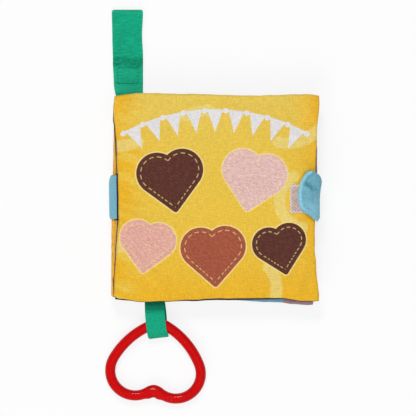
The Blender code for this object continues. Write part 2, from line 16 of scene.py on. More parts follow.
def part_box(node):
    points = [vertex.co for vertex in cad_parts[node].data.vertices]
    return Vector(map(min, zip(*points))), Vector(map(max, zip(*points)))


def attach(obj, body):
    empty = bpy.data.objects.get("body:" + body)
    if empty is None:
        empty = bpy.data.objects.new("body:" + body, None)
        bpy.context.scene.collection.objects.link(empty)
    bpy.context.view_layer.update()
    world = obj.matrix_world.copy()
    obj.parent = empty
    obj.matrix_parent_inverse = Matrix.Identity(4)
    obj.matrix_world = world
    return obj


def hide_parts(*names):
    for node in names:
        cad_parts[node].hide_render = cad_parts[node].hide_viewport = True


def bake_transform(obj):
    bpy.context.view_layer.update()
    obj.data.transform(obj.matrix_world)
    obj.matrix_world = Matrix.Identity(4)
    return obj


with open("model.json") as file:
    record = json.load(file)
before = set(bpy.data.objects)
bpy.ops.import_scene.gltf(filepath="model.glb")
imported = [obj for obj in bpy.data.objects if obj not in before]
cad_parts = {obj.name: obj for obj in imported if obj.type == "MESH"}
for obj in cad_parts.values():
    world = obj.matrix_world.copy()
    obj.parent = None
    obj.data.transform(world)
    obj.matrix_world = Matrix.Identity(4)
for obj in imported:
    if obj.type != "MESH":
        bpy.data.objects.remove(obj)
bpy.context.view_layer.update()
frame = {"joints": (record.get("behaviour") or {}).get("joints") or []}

# A value with MM is a length. Tables of places are in millimetres, and get their MM where they are used
MM = 0.001
UP = (0, 0, 1)

# The photograph looks straight down. Its middle on the table, and the size of one pixel
PIXEL = 0.73 * MM
PHOTO_PIXELS = 416
PHOTO_MIDDLE = (-6.2 * MM, -7.3 * MM)
CAMERA_DISTANCE = 3.0
SENSOR_WIDTH = 36.0

# Lamps: place, size, power and whether gloss shows them
LAMPS = {
    "key": ((-0.12, 0.75, 1.15), 0.32, 7.0, True),
    "overhead": ((0.3, -0.3, 1.6), 1.2, 4.6, False),
    "fill": ((-0.3, -1.0, 0.9), 0.8, 7.3, False),
}
SKY_LIGHT = 0.3
FLOOR_GREY = (0.95, 0.95, 0.95, 1)
FLOOR_GLOW_SHARE = 0.8
FLOOR_SIZE = 6.0

# Padded leaves: the sewn rim, the shoulder behind it, and the lines of the pattern from the seam in
RIM = 1.05 * MM
RIM_WIDTH = 1.9 * MM
SHOULDER = 21.0 * MM
SHOULDER_POWER = 2.6
SEAM_LINES = (0, 0.35, 0.85, 1.5, 2.3, 3.3, 4.5, 5.8)
COARSE_LINES = (0, 1.5, 3.3, 5.8)
CELL = 1.45 * MM
CLOTH = 0.5 * MM
CORNER_EASE = 0.6 * MM
CORNER_POWER = 16
# Its seam wavers, its cloth puckers along the seam, and broad dents lie over its face
RIPPLE = 0.22 * MM
PUCKER = 0.42 * MM
PUCKER_REACH = 6.5 * MM
PUCKER_START = 1.2 * MM
FINE_PUCKER = (4.6 * MM, 16 * MM)
BROAD_PUCKER = (9.5 * MM, 20 * MM)
DENT = 0.38 * MM
DENT_SIZE = 34.0 * MM
DENT_TOP = 0.4
# How far a face may rise over its crown, upper and lower, and the slope beside a pressed channel
CROWN_SPARE = {1: 0.25 * MM, -1: 0.1 * MM}
CHANNEL_SLOPE = 0.6
CHANNEL_MARGIN = 0.4 * MM
CHANNEL_DEPTH = 1.35 * MM

# How the filled cloth is settled: its cells, its frames, its most move, how many cells a broad
# swelling spans, how far from the seam the cloth moves freely, and the cloth's own settings
SETTLE_CELL = 3.0 * MM
SETTLE_STEPS = 16
SETTLE_CAP = 1.5 * MM
SETTLE_REACH = 3
SETTLE_FREE = 5.0 * MM
SETTLE_CLOTH = {
    "quality": 6, "mass": 0.02, "tension_stiffness": 12, "compression_stiffness": 12,
    "shear_stiffness": 4, "bending_stiffness": 0.02, "use_pressure": True,
    "uniform_pressure_force": 4.0, "shrink_min": -0.03, "vertex_group_mass": "seam",
}

# The outline of each leaf: along a side from -1 to 1, and how far out of its box it stands
FRONT_SIDES = {
    "left": ((-1, 1.9), (-0.88, 1.6), (-0.71, 0.3), (-0.55, -0.3), (-0.41, -0.9), (-0.26, -1.8),
             (0.22, -1.3), (0.46, -0.6), (0.66, 0.7), (0.78, 1.9), (0.9, 2.1), (1, 1.6)),
    "right": ((-1, 0.7), (-0.64, -1.9), (-0.49, -2.8), (0.24, -2.3), (0.59, -1.2), (1, 0.9)),
    "bottom": ((-1, -2.6), (-0.95, -1.4), (-0.71, 0.5), (-0.5, 0.1), (-0.26, -0.8), (0.03, -1.8),
               (0.62, -2.1), (0.84, 0.1), (1, 0.3)),
    "top": ((-1, -0.2), (-0.73, 1.55), (-0.3, 0.8), (0.32, -0.4), (0.91, 0.6), (1, 0.1)),
}
LEAF_1_SIDES = {
    "left": ((-1, 0), (0, -2.6), (1, 0)),
    "right": ((-1, -0.2), (-0.4, -2.4), (0.5, -2.6), (1, 0)),
    "bottom": ((-1, 0), (0, -0.8), (1, -0.6)),
    "top": ((-1, 0), (0.1, -0.8), (1, -0.2)),
}
LEAF_2_SIDES = {
    "left": ((-1, 0), (0, -2.4), (1, 0)),
    "right": ((-1, -1.9), (-0.5, -2.4), (0, -1.5), (0.28, 0.5), (0.52, 0.6), (0.7, -0.6), (1, -0.4)),
    "bottom": ((-1, -4.4), (-0.3, -4.2), (0.08, -3.1), (0.63, -1.5), (0.78, -0.2), (0.95, 0.8), (1, 0.7)),
    "top": ((-1, 0), (0.1, -0.8), (1, -3.4)),
}
BACK_SIDES = {
    "left": ((-1, 1.5), (-0.86, 1.0), (-0.6, -0.2), (0, -2.0), (0.6, -0.4), (1, 0.4)),
    "right": ((-1, -0.5), (-0.4, -2.6), (0.4, -2.6), (1, -0.4)),
    "bottom": ((-1, -0.2), (-0.85, 0.1), (0, -1.0), (1, -0.6)),
    "top": ((-1, -0.2), (0, -0.8), (1, -0.2)),
}

# How far a lining rolls out under its cover's bottom edge and under its spine edge
NO_ROLL = ((-1, 0), (1, 0))
FRONT_ROLL = ((-1, 0.2), (-0.93, 0.7), (-0.8, 0.25), (-0.45, 0.35), (-0.2, 0.9), (0.1, 1.1), (0.45, 0.9),
              (0.75, 0.4), (1, 0.2))
FRONT_SPINE_ROLL = ((-1, 0.2), (-0.8, 0.8), (-0.2, 1.1), (0.4, 1.0), (0.7, 0.6), (0.9, 0.0), (1, 0))

# Rolled spine: how far it leans in along its length, its shorter ends, its rings and its puckers
SPINE_LEAN = ((-1, 0.2), (0, 0.4), (0.22, 1.35), (0.35, 1.6), (0.62, 1.9), (1, 3.0))
SPINE_SHORT = 2.0 * MM
SPINE_SPARE = 0.35 * MM
SPINE_STEPS = 180
SPINE_SIDES = 24
SPINE_PUCKER = 0.13
SPINE_PUCKER_PITCH = 4.2 * MM
SPINE_END = 1.6 * MM
SPINE_END_SHARE = 0.35

# Strips that join the leaves to the spine: how far past the spine's axis they keep, for a cover
# and for a page, and how much wider than the band they are cut out
STRIP = 0.6 * MM
STRIP_WIDTH = 12 * MM
STRIP_TUCK = 6.5 * MM
COVER_INWARD = 0.9 * MM
PAGE_INWARD = 1.7 * MM
STRIP_FOLD = 0.35 * MM
STRIP_FOLD_PITCH = 7 * MM
STRIP_CELLS = (14, 90)
CUT_OUT_MARGIN = 0.6 * MM
SEWN_LENGTH = 10.6 * MM

# Closure strap: the band, and the path it takes over the spine and down its outer side
BAND = 1.1 * MM
BAND_ON_SPINE = 1.5 * MM
BAND_SPARE = 1.1 * MM
BAND_LEAN = 0.25 * MM
BAND_SWELL = 0.3 * MM
BAND_START = ((-71.0, 17.0), (-72.4, 16.6), (-73.9, 15.9))
BAND_DESCENT = ((0, 8.8), (0.25, 6.6), (1.5, 4.4), (2.4, 2.4), (3.0, 1.0))
BAND_LANDING = 4.2 * MM
# Its two sides round off where it leaves the outline: how long the turn is, and how far it draws in
BAND_TURNS = {1: (7.0 * MM, 2.4 * MM), -1: (3.0 * MM, 1.0 * MM)}

# The tab: its cloth, its rim, how much of it is riser, and the thread of its stitches
TAB = 1.5 * MM
TAB_RIM_WIDTH = 2.7 * MM
TAB_TURN = 0.44
TAB_REACH_POWER = 1.15
TAB_RIM_TOP = 1.3 * MM
TAB_RIM_REACH = 1.1 * MM
TAB_GROOVE_REACH = 0.6 * MM
TAB_FOLD_RISE = 1.9 * MM
TAB_OVER_COVER = 1.25 * MM
TAB_MAP_HALF = 17 * MM
STITCH_PITCH = 2.2 * MM
THREAD_SIDES = 6

# The tab seen from above: its round end, and the line on which it folds over the fore-edge
TAB_END = ((69.6, -13.0), (65.8, -10.8), (62.6, -8.9), (60.8, -5.9), (60.0, -1.4), (59.9, 4.0),
           (60.9, 9.9), (62.6, 14.2), (65.2, 18.0), (68.2, 19.9))
TAB_FOLD = ((73.0, -17.0), (74.3, -14.4), (74.5, -8.8), (74.6, -2.6), (75.3, 6.0), (76.2, 11.4),
            (75.6, 14.6), (74.4, 16.4))
# A crease across the tab: a place on it, the way it runs, its half length, width and depth
TAB_CREASE = (68.4, 8.6, -0.62, 4.4, 1.6, 1.2)

# Webbing and ribbon
WEB = 1.0 * MM
WEB_HALF = 11 * MM
WEB_CORNER = 1.6 * MM
WEB_LEFT = ((0, -74.4), (0.12, -75.4), (0.4, -76.1), (0.7, -76.5), (1, -76.9))
WEB_RIGHT = ((0, -53.9), (0.45, -53.9), (0.7, -54.6), (1, -53.9))
# The box of stitches on the strap: its sides, and its lower and upper line
BOX_SIDES = (-72.6 * MM, -57.6 * MM)
BOX_LINES = (84.2 * MM, 96.0 * MM)
RIBBON = 0.7 * MM
RIBBON_SIDES = (-52.6 * MM, -38.4 * MM)
RIBBON_HALF = 7.2 * MM
# How the ribbon leans, slants and flares towards its fold, and narrows at the fold's corners
RIBBON_LEAN = 2.7 * MM
RIBBON_SLANT = 0.8 * MM
RIBBON_FLARE = 1.2 * MM
RIBBON_NARROWING = 1.3 * MM
RIBBON_CORNER = 1.8 * MM
TAPE = 0.55 * MM
TAPE_ROUND = 0.12 * MM
HOOK_TAPE_WIDTH = 10.2 * MM

# Heart ring: arcs that run into each other, its point in the ribbon
BAR_RADIUS = 3.8 * MM
BAR_RISE = 0.4 * MM
TIP_RADIUS = 10.0 * MM
SIDE_RADIUS = 58.0 * MM
LOBE_RADIUS = 18.3 * MM
LOBE_OFFSET = 15.0 * MM
LOBE_DROP = 25.9 * MM
CLEFT_RADIUS = 6.2 * MM
CLEFT_FILL = 1.24
CLEFT_REACH = 8.0 * MM
HEART_TURN = math.radians(-4.5)
# How many sides the bar has, and how many steps each arc takes
BAR_SIDES = 40
TIP_STEPS, SIDE_STEPS, LOBE_STEPS, CLEFT_STEPS = 14, 40, 60, 16

# A cut edge of cloth is rounded in this many steps, where it turns more sharply than this angle
EDGE_STEPS = 3
EDGE_ANGLE = math.radians(50)


def paint(red, green, blue):
    """A colour given as it looks on a screen, 0 to 255, made linear for the shader."""
    def linear(value):
        value /= 255
        return value / 12.92 if value <= 0.04045 else ((value + 0.055) / 1.055) ** 2.4
    return (linear(red), linear(green), linear(blue), 1)


def toned(colour, factor, lift=0.0):
    """A paler or deeper tone of a colour."""
    return tuple(min(1, factor * part + lift) for part in colour[:3]) + (1,)


YELLOW = paint(233, 197, 74)
# The amber is a random mottle and painted shade on the yellow ground, and the pale yellow is painted light on
# its upper part
AMBER_MOTTLE_AND_SHADE = paint(236, 178, 30)
PAINTED_LIGHT_YELLOW = paint(231, 202, 92)
SPINE_YELLOW = paint(246, 190, 74)
# Painted shade in the creases of the spine cloth
SPINE_CREASE_SHADE = paint(214, 142, 34)
GHOST = paint(234, 214, 130)
NAVY = paint(34, 43, 74)
SKY = paint(128, 168, 196)
MAUVE = paint(170, 138, 146)
MINT = paint(150, 205, 184)
# The deep and the light tones of the fleece and the webbing also show painted shade and painted light,
# through the pile attribute
FLEECE = paint(130, 190, 208)
FLEECE_DEEP = paint(82, 144, 166)
FLEECE_LIGHT = paint(152, 216, 234)
JADE = paint(8, 172, 131)
JADE_DEEP = paint(2, 122, 90)
JADE_LIGHT = toned(JADE, 1.22, 0.02)
TAPE_TONE = paint(204, 176, 160)
TAPE_DEEP = paint(186, 168, 172)
PALE_THREAD = paint(240, 236, 232)
BLUE_THREAD = paint(150, 210, 226)
GREEN_THREAD = paint(4, 108, 77)
RED = paint(214, 4, 6)
RED_DEEP = paint(196, 2, 4)
# Painted shade on the lower sides of the heart ring's bar
RED_SIDE_SHADE = paint(176, 2, 10)
CREAM = paint(240, 216, 140)
BUNTING = paint(228, 226, 230)
COCOA = paint(86, 46, 37)
CHESTNUT = paint(156, 80, 58)
ROSE = paint(218, 162, 148)
BLUSH = paint(219, 178, 172)

# Printed hearts: middle in the book's frame, size, turn and colour
FRONT_HEARTS = (
    ((-33, 12), 37, 9, COCOA),
    ((26.5, 12), 36, -12, BLUSH),
    ((-51, -36), 31, -9, ROSE),
    ((-2, -43), 36, 4, CHESTNUT),
    ((47, -38), 30, 13, COCOA),
)
# Pale strokes: middle of the arc, radius, way it faces and half the angle it spans
FRONT_STROKES = (
    ((-70, 62), 24, 150, 62),
    ((52, 70), 30, 205, 38),
    ((66, -2), 20, 100, 70),
    ((-62, -60), 26, 40, 48),
    ((22, -66), 22, 262, 52),
    ((-2, 4), 60, 12, 9),
)
BACK_HEARTS = (
    ((-28, 20), 40, -8, ROSE),
    ((26, -18), 36, 10, COCOA),
)
BACK_STROKES = (
    ((-60, -50), 28, 30, 60),
    ((55, 52), 26, 210, 60),
    ((50, -62), 20, 120, 60),
)
STROKE_HALF = 4.2 * MM
STROKE_STRENGTH = 0.68

# The garland: its arc's middle and radius, the angle between flags, how many hang on each side of
# the middle one, and the sizes of its flags, string and beads
GARLAND_PLACE = {"Centre": (-1 * MM, -77 * MM, 0), "Radius": 140 * MM, "Step": math.radians(6.3),
                 "Count": 4.65}
FLAG_HALF = 4.7 * MM
FLAG_DROP = 13.0 * MM
FLAG_TOP = 0.6 * MM
FLAG_ROUND = 0.7 * MM
STRING_HALF = 0.9 * MM
BEAD = 2.0 * MM

# A heart's printed border, and the line of stitches printed inside it
BORDER = 0.9 * MM
SEAM_INSET = 3.2 * MM
SEAM_HALF = 0.35 * MM
SEAM_DASHES = 26.0
SEAM_STRENGTH = 0.6

# Rows of dots on the pages: how far apart they are, and a dot's radius as a share of that
DOT_PITCH = 24 * MM
DOT_SHARE = 0.2

# Yarn: threads, tufts or ribs in a metre of each cloth, and how deep its relief is
COTTON_THREADS = 900.0
FLEECE_TUFTS = 900.0
WEB_RIBS = 900.0
RIBBON_TUFTS = 1100.0
COTTON_RELIEF = 0.1 * MM
FLEECE_RELIEF = 0.22 * MM
WEB_RELIEF = 0.14 * MM
RIBBON_RELIEF = 0.16 * MM
PILE_RELIEF = 0.15 * MM
THREAD_RELIEF = 0.05 * MM


class Field:
    """A value or colour that varies over a surface. A sum of fields becomes nodes."""

    def __init__(self, graph, socket):
        self.graph = graph
        self.socket = socket

    def __add__(self, other):
        return self.graph.math("ADD", self, other)

    def __sub__(self, other):
        return self.graph.math("SUBTRACT", self, other)

    def __rsub__(self, other):
        return self.graph.math("SUBTRACT", other, self)

    def __mul__(self, other):
        return self.graph.math("MULTIPLY", self, other)

    def __truediv__(self, other):
        return self.graph.math("DIVIDE", self, other)

    def __pow__(self, other):
        return self.graph.math("POWER", self, other)

    def __abs__(self):
        return self.graph.math("ABSOLUTE", self)

    def __gt__(self, other):
        return self.graph.math("GREATER_THAN", self, other)

    def __lt__(self, other):
        return self.graph.math("LESS_THAN", self, other)


class Graph:
    """Short ways to add and join the nodes of a material or of a node group."""

    def __init__(self, tree):
        self.tree = tree

    def add(self, kind, inputs=None, **settings):
        made = self.tree.nodes.new(kind)
        for name, value in settings.items():
            setattr(made, name, value)
        for name, value in (inputs or {}).items():
            self.feed(made.inputs[name], value)
        return made

    def feed(self, socket, value):
        if isinstance(value, Field):
            self.tree.links.new(value.socket, socket)
        else:
            socket.default_value = value

    def fields(self, node):
        return {socket.name: Field(self, socket) for socket in node.outputs}

    def math(self, operation, *values, clamp=False):
        made = self.add("ShaderNodeMath", dict(enumerate(values)), operation=operation, use_clamp=clamp)
        return Field(self, made.outputs[0])

    def least(self, *values):
        return self.math("MINIMUM", *values)

    def most(self, *values):
        return self.math("MAXIMUM", *values)

    def clamp(self, value):
        return self.math("ADD", value, 0.0, clamp=True)

    def sine(self, value):
        return self.math("SINE", value)

    def cosine(self, value):
        return self.math("COSINE", value)

    def join(self, x, y, z=0.0):
        return Field(self, self.add("ShaderNodeCombineXYZ", {"X": x, "Y": y, "Z": z}).outputs[0])

    def split(self, vector):
        return self.fields(self.add("ShaderNodeSeparateXYZ", {"Vector": vector})).values()

    def length(self, x, y):
        made = self.add("ShaderNodeVectorMath", {0: self.join(x, y)}, operation="LENGTH")
        return Field(self, made.outputs["Value"])

    def about(self, given):
        """Where a point lies from a group's Centre, across and up."""
        moved = self.add("ShaderNodeVectorMath", {0: given["Vector"], 1: given["Centre"]},
                         operation="SUBTRACT")
        across, up, _z = self.split(Field(self, moved.outputs["Vector"]))
        return across, up

    def turned(self, given, turn):
        """The same, for a figure that is turned in its own plane."""
        x, y = self.about(given)
        sine, cosine = self.sine(given[turn]), self.cosine(given[turn])
        return x * cosine + y * sine, y * cosine - x * sine

    def place(self):
        """The object's own coordinates, which are the book's."""
        return self.fields(self.add("ShaderNodeTexCoord"))["Object"]

    def mix(self, share, low, high, blend="MIX"):
        made = self.add("ShaderNodeMix", {0: share, 6: low, 7: high}, data_type="RGBA", blend_type=blend)
        return Field(self, made.outputs[2])

    def inside(self, distance, edge, soft):
        """A mask: 1 where a distance is under an edge, with a soft border."""
        ends = {"Value": distance, "From Min": edge - soft, "From Max": edge + soft,
                "To Min": 1.0, "To Max": 0.0}
        return self.fields(self.add("ShaderNodeMapRange", ends, interpolation_type="SMOOTHSTEP"))["Result"]

    def noise(self, vector, scale, detail=2.0, rough=0.5):
        sockets = {"Vector": vector, "Scale": scale, "Detail": detail, "Roughness": rough}
        return Field(self, self.add("ShaderNodeTexNoise", sockets).outputs["Fac"])

    def bump(self, shader, height, distance, strength):
        made = self.add("ShaderNodeBump", {"Height": height, "Distance": distance, "Strength": strength})
        self.feed(shader.inputs["Normal"], self.fields(made)["Normal"])

    def use(self, group, **inputs):
        return self.fields(self.add("ShaderNodeGroup", inputs, node_tree=group))


def node_group(name, inputs, outputs, fill):
    """A shader node group with named sockets, filled in by a function. Its first input is a vector."""
    tree = bpy.data.node_groups.new(name, "ShaderNodeTree")
    for label in ("Vector", *inputs):
        kind = "Vector" if label in ("Vector", "Centre") else "Float"
        tree.interface.new_socket(label, in_out="INPUT", socket_type="NodeSocket" + kind)
    for label in outputs:
        tree.interface.new_socket(label, in_out="OUTPUT", socket_type="NodeSocketFloat")
    graph = Graph(tree)
    made = graph.add("NodeGroupOutput")
    for label, value in fill(graph, graph.fields(graph.add("NodeGroupInput"))).items():
        graph.feed(made.inputs[label], value)
    return tree


def weave_nodes(g, given):
    """Plain weave: threads that cross over and under, with uneven yarn both ways."""
    x, y, _z = g.split(given["Vector"])
    threads = given["Threads"]
    turn = threads * math.tau
    cross = g.sine(x * turn) * g.sine(y * turn) * 0.5 + 0.5
    fine, drawn = threads * 1.2, 0.2
    yarn = g.noise(g.join(x * drawn, y), fine, 2.0, 0.6) + g.noise(g.join(x, y * drawn), fine, 2.0, 0.6)
    nub = g.noise(given["Vector"], threads, 2.0, 0.7)
    cloud = g.noise(given["Vector"], threads * 0.03, 3.0)
    tone = yarn * 0.36 + nub * 0.42 + cloud * 0.14 + cross * 0.04 + 0.34
    return {"Height": yarn * 0.5 + cross * 0.4, "Tone": tone}


def fleece_nodes(g, given):
    """Brushed fleece: short fibres that lie in small tufts."""
    tuft = g.noise(given["Vector"], given["Scale"], 4.0, 0.7)
    fibre = g.noise(given["Vector"], given["Scale"] * 4.0, 3.0, 0.7)
    return {"Height": tuft * 0.7 + fibre * 0.5, "Tone": tuft * 0.5 + fibre * 0.3 + 0.6}


def rib_nodes(g, given):
    """Woven tape: fine ribs across its length, crossed by the warp, with streaks of fluff."""
    x, y, _z = g.split(given["Vector"])
    ribs = given["Scale"]
    rib = g.sine(y * (ribs * math.tau))
    warp = g.sine(x * (ribs * 4.1))
    fuzz = g.noise(given["Vector"], ribs * 0.8, 3.0, 0.7)
    streak = g.noise(g.join(x * 0.16, y), ribs * 1.1, 3.0, 0.7)
    cloud = g.noise(given["Vector"], ribs * 0.1, 2.0)
    height = streak * 0.9 + rib * 0.25 + rib * warp * 0.25 + 0.5
    return {"Height": height, "Tone": streak * 0.55 + fuzz * 0.3 + cloud * 0.2 + 0.475}


def heart_nodes(g, given):
    """How far a point is from the outline of a printed heart, less than 0 inside it.

    The heart is one unit high before its size is set: two lobes on a square that stands on its
    corner, and rounded all round."""
    low_corner, lobe_x, lobe_y, rounding = 0.55, 0.25, 0.75, 0.06
    across, up = g.turned(given, "Turn")
    across = abs(across / given["Size"])
    up = up / given["Size"] + low_corner
    total = across + up
    lobe = g.length(across - lobe_x, up - lobe_y) - math.hypot(lobe_x, lobe_x)
    cleft = g.length(across, up - 1.0)
    half = g.most(total, 0.0) * 0.5
    side = g.length(across - half, up - half)
    lower = g.least(cleft, side) * g.math("SIGN", across - up)
    above = total > 1.0
    distance = lobe * above + lower * (1.0 - above)
    angle = g.math("ARCTAN2", across, up - low_corner)
    return {"Distance": (distance - rounding) * given["Size"], "Angle": angle}


def stroke_nodes(g, given):
    """How far a point is from a thick arc with round ends."""
    across, up = g.turned(given, "Facing")
    across = abs(across)
    end_x, end_y = g.sine(given["Spread"]), g.cosine(given["Spread"])
    past = end_y * across > end_x * up
    to_end = g.length(across - end_x * given["Radius"], up - end_y * given["Radius"])
    to_arc = abs(g.length(across, up) - given["Radius"])
    return {"Distance": to_end * past + to_arc * (1.0 - past)}


def bunting_nodes(g, given):
    """A garland of small flags and beads that hangs along an arc."""
    soft = 0.25 * MM
    x, y = g.about(given)
    place = g.math("ARCTAN2", x, y) / given["Step"]
    index = g.math("ROUND", place)
    pitch = given["Step"] * given["Radius"]
    aside = abs((place - index) * pitch)
    up = g.length(x, y) - given["Radius"]
    flag = g.most(aside - (up * (FLAG_HALF / FLAG_DROP) + FLAG_HALF), up - FLAG_TOP)
    flag = g.inside(flag - FLAG_ROUND, 0.0, soft) * (abs(index) < given["Count"] - 0.5)
    string = g.inside(abs(up - STRING_HALF), STRING_HALF, 0.2 * MM)
    bead = g.inside(g.length(pitch * 0.5 - aside, up - STRING_HALF), BEAD, soft)
    held = g.most(string, bead) * (abs(place) < given["Count"])
    return {"Mask": g.most(flag, held)}


WEAVE = node_group("plain weave", ("Threads",), ("Height", "Tone"), weave_nodes)
BRUSHED = node_group("brushed fleece", ("Scale",), ("Height", "Tone"), fleece_nodes)
RIBBED = node_group("ribbed tape", ("Scale",), ("Height", "Tone"), rib_nodes)
HEART = node_group("printed heart", ("Centre", "Size", "Turn"), ("Distance", "Angle"), heart_nodes)
STROKE = node_group("printed stroke", ("Centre", "Radius", "Facing", "Spread"), ("Distance",), stroke_nodes)
GARLAND = node_group("printed bunting", ("Centre", "Radius", "Step", "Count"), ("Mask",), bunting_nodes)


def start_material(name):
    """A new material, with its graph and its shader."""
    made = bpy.data.materials.new(name)
    made.use_nodes = True
    return made, Graph(made.node_tree), made.node_tree.nodes["Principled BSDF"]


def finish_cloth(g, shader, colour, height, depth, tone, sheen=0.05):
    """Give a cloth its colour, dimmed by the yarn's tone, and the relief of its yarn."""
    g.feed(shader.inputs["Base Color"], g.mix(1.0, colour, g.join(tone, tone, tone), "MULTIPLY"))
    g.bump(shader, height, depth, 0.6)
    for label, value in (("Roughness", 0.9), ("Specular IOR Level", 0.25), ("Sheen Weight", sheen),
                         ("Sheen Roughness", 0.5)):
        shader.inputs[label].default_value = value


def finish_cotton(g, shader, flat, colour):
    """The plain cotton that the covers and the pages are cut from."""
    yarn = g.use(WEAVE, Vector=flat, Threads=COTTON_THREADS)
    finish_cloth(g, shader, colour, yarn["Height"], COTTON_RELIEF, yarn["Tone"])


def yellow_with_painted_light_and_shade(g, x, y, flat):
    """The yellow ground: a random amber mottle, painted shade in amber towards its edges and in the folds at
    the spine, and painted light that makes it paler above.
    """
    side = abs((x - 0.6 * MM) / (74 * MM))
    down = g.most((10 * MM - y) / (88 * MM), 0.0)
    # Painted shade: amber towards the sides and the bottom edge
    edge = g.most(side ** 6.0, down ** 2.2) * 0.9
    # Painted shade in the folds of the cloth near the spine
    folds = g.noise(g.join(x * 0.3, x * 0.35 + y), 130.0, 2.0) - 0.52
    seam = g.clamp((-48 * MM - x) / (25 * MM))
    mottle_and_painted_shade = g.clamp(g.noise(flat, 22.0, 2.0) * 0.5 + edge + folds * (seam * 4.4))
    # Painted light: paler towards the top
    pale = g.clamp((y - 18 * MM) / (56 * MM))
    return g.mix(g.clamp(mottle_and_painted_shade - 0.14), g.mix(pale, YELLOW, PAINTED_LIGHT_YELLOW), AMBER_MOTTLE_AND_SHADE)


def printed_cloth(name, hearts, strokes, garland, mirrored=False):
    """Yellow printed cloth: pale strokes, hearts with a light border, and a garland."""
    made, g, shader = start_material(name)
    place = g.place()
    if mirrored:
        place = g.fields(g.add("ShaderNodeMapping", {"Vector": place, "Scale": (-1, 1, 1)}))["Vector"]
    x, y, _z = g.split(place)
    flat = g.join(x, y)
    colour = yellow_with_painted_light_and_shade(g, x, y, flat)
    grain = g.noise(g.join((y * -0.5 + x) * 0.35, x * 0.5 + y), 800.0, 2.0, 0.7)
    for (cx, cy), radius, facing, spread in strokes:
        stroke = g.use(STROKE, Vector=flat, Centre=(cx * MM, cy * MM, 0), Radius=radius * MM,
                       Facing=math.radians(facing), Spread=math.radians(spread))
        mask = g.inside(stroke["Distance"], STROKE_HALF, 0.5 * MM)
        colour = g.mix(mask * STROKE_STRENGTH, colour, GHOST)
    if garland:
        mask = g.use(GARLAND, Vector=flat, **GARLAND_PLACE)["Mask"]
        colour = g.mix(mask * 0.95, colour, BUNTING)
    for (cx, cy), size, turn, fill in hearts:
        heart = g.use(HEART, Vector=flat, Centre=(cx * MM, cy * MM, 0), Size=size * MM,
                      Turn=math.radians(turn))
        distance = heart["Distance"]
        colour = g.mix(g.inside(distance, BORDER, 0.3 * MM), colour, CREAM)
        worn = g.mix(g.clamp(grain * 2.2 - 0.9), fill, toned(fill, 1.6, 0.015))
        colour = g.mix(g.inside(distance, 0.0, 0.2 * MM), colour, worn)
        dash = g.sine(heart["Angle"] * SEAM_DASHES) > -0.2
        line = g.inside(abs(distance + SEAM_INSET), SEAM_HALF, 0.15 * MM)
        colour = g.mix(line * dash * SEAM_STRENGTH, colour, CREAM)
    finish_cotton(g, shader, flat, colour)
    return made


def plain_cloth(name, colour, patch=None, dots=None, crease_shade=None):
    """Page cloth of one colour, with a round patch or rows of dots of a second one, or darker streaks of
    painted shade for its creases.
    """
    made, g, shader = start_material(name)
    place = g.place()
    x, y, _z = g.split(place)
    flat = g.join(x, y)
    shown = g.mix(g.noise(flat, 18.0), colour, toned(colour, 0.86))
    if patch:
        (cx, cy), radius, second = patch
        away = g.length(x - cx * MM, y - cy * MM)
        shown = g.mix(g.inside(away, radius * MM, 0.4 * MM), shown, second)
    if dots:
        column, row = x / DOT_PITCH, y / DOT_PITCH
        row = row + g.math("MODULO", g.math("FLOOR", column), 2.0) * 0.5
        away = g.length(g.math("FRACT", column) - 0.5, g.math("FRACT", row) - 0.5)
        shown = g.mix(g.inside(away, DOT_SHARE, 0.015), shown, dots)
    if crease_shade:
        # Painted shade: darker streaks in the creases of the cloth
        streak = g.noise(place, 330.0, 3.0, 0.7)
        shown = g.mix(g.clamp(streak * 5.0 - 2.5), shown, crease_shade)
    finish_cotton(g, shader, flat, shown)
    return made


def yarn_cloth(name, tones, group, density, relief, sheen):
    """Fleece or webbing: deeper between its fibres, and deeper or lighter by the pile attribute, which holds
    painted shade and painted light as well as the yarn's own random tone.
    """
    colour, deep, light = tones
    made, g, shader = start_material(name)
    place = g.fields(g.add("ShaderNodeUVMap", uv_map="cloth"))["UV"]
    yarn = g.use(group, Vector=place, Scale=density)
    # The pile attribute holds painted shade and painted light along with the cloth's own tone
    pile = Field(g, g.add("ShaderNodeAttribute", attribute_name="pile").outputs["Fac"])
    between = g.clamp((1.08 - yarn["Tone"]) * 2.0 - g.least(pile, 0.0) * 0.8)
    colour = g.mix(g.clamp(pile * 0.8), g.mix(between, colour, deep), light)
    finish_cloth(g, shader, colour, yarn["Height"], relief, yarn["Tone"], sheen)
    return made


def tape_material():
    """Hook and loop tape: a rough pile of tiny loops."""
    made, g, shader = start_material("hook and loop tape")
    place = g.place()
    pile = Field(g, g.add("ShaderNodeTexVoronoi", {"Vector": place, "Scale": 1500.0}).outputs["Distance"])
    tone = g.noise(place, 500.0, 3.0, 0.7) * 1.3 + 0.36
    patchy = g.clamp(g.noise(place, 260.0, 2.0) * 3.0 - 1.0)
    finish_cloth(g, shader, g.mix(patchy, TAPE_TONE, TAPE_DEEP), pile, PILE_RELIEF, tone)
    return made


def thread_material(name, colour):
    """Sewing thread with its twist."""
    made, g, shader = start_material(name)
    twist = g.noise(g.place(), 2500.0, 2.0)
    finish_cloth(g, shader, colour, twist, THREAD_RELIEF, twist * 0.2 + 0.88)
    return made


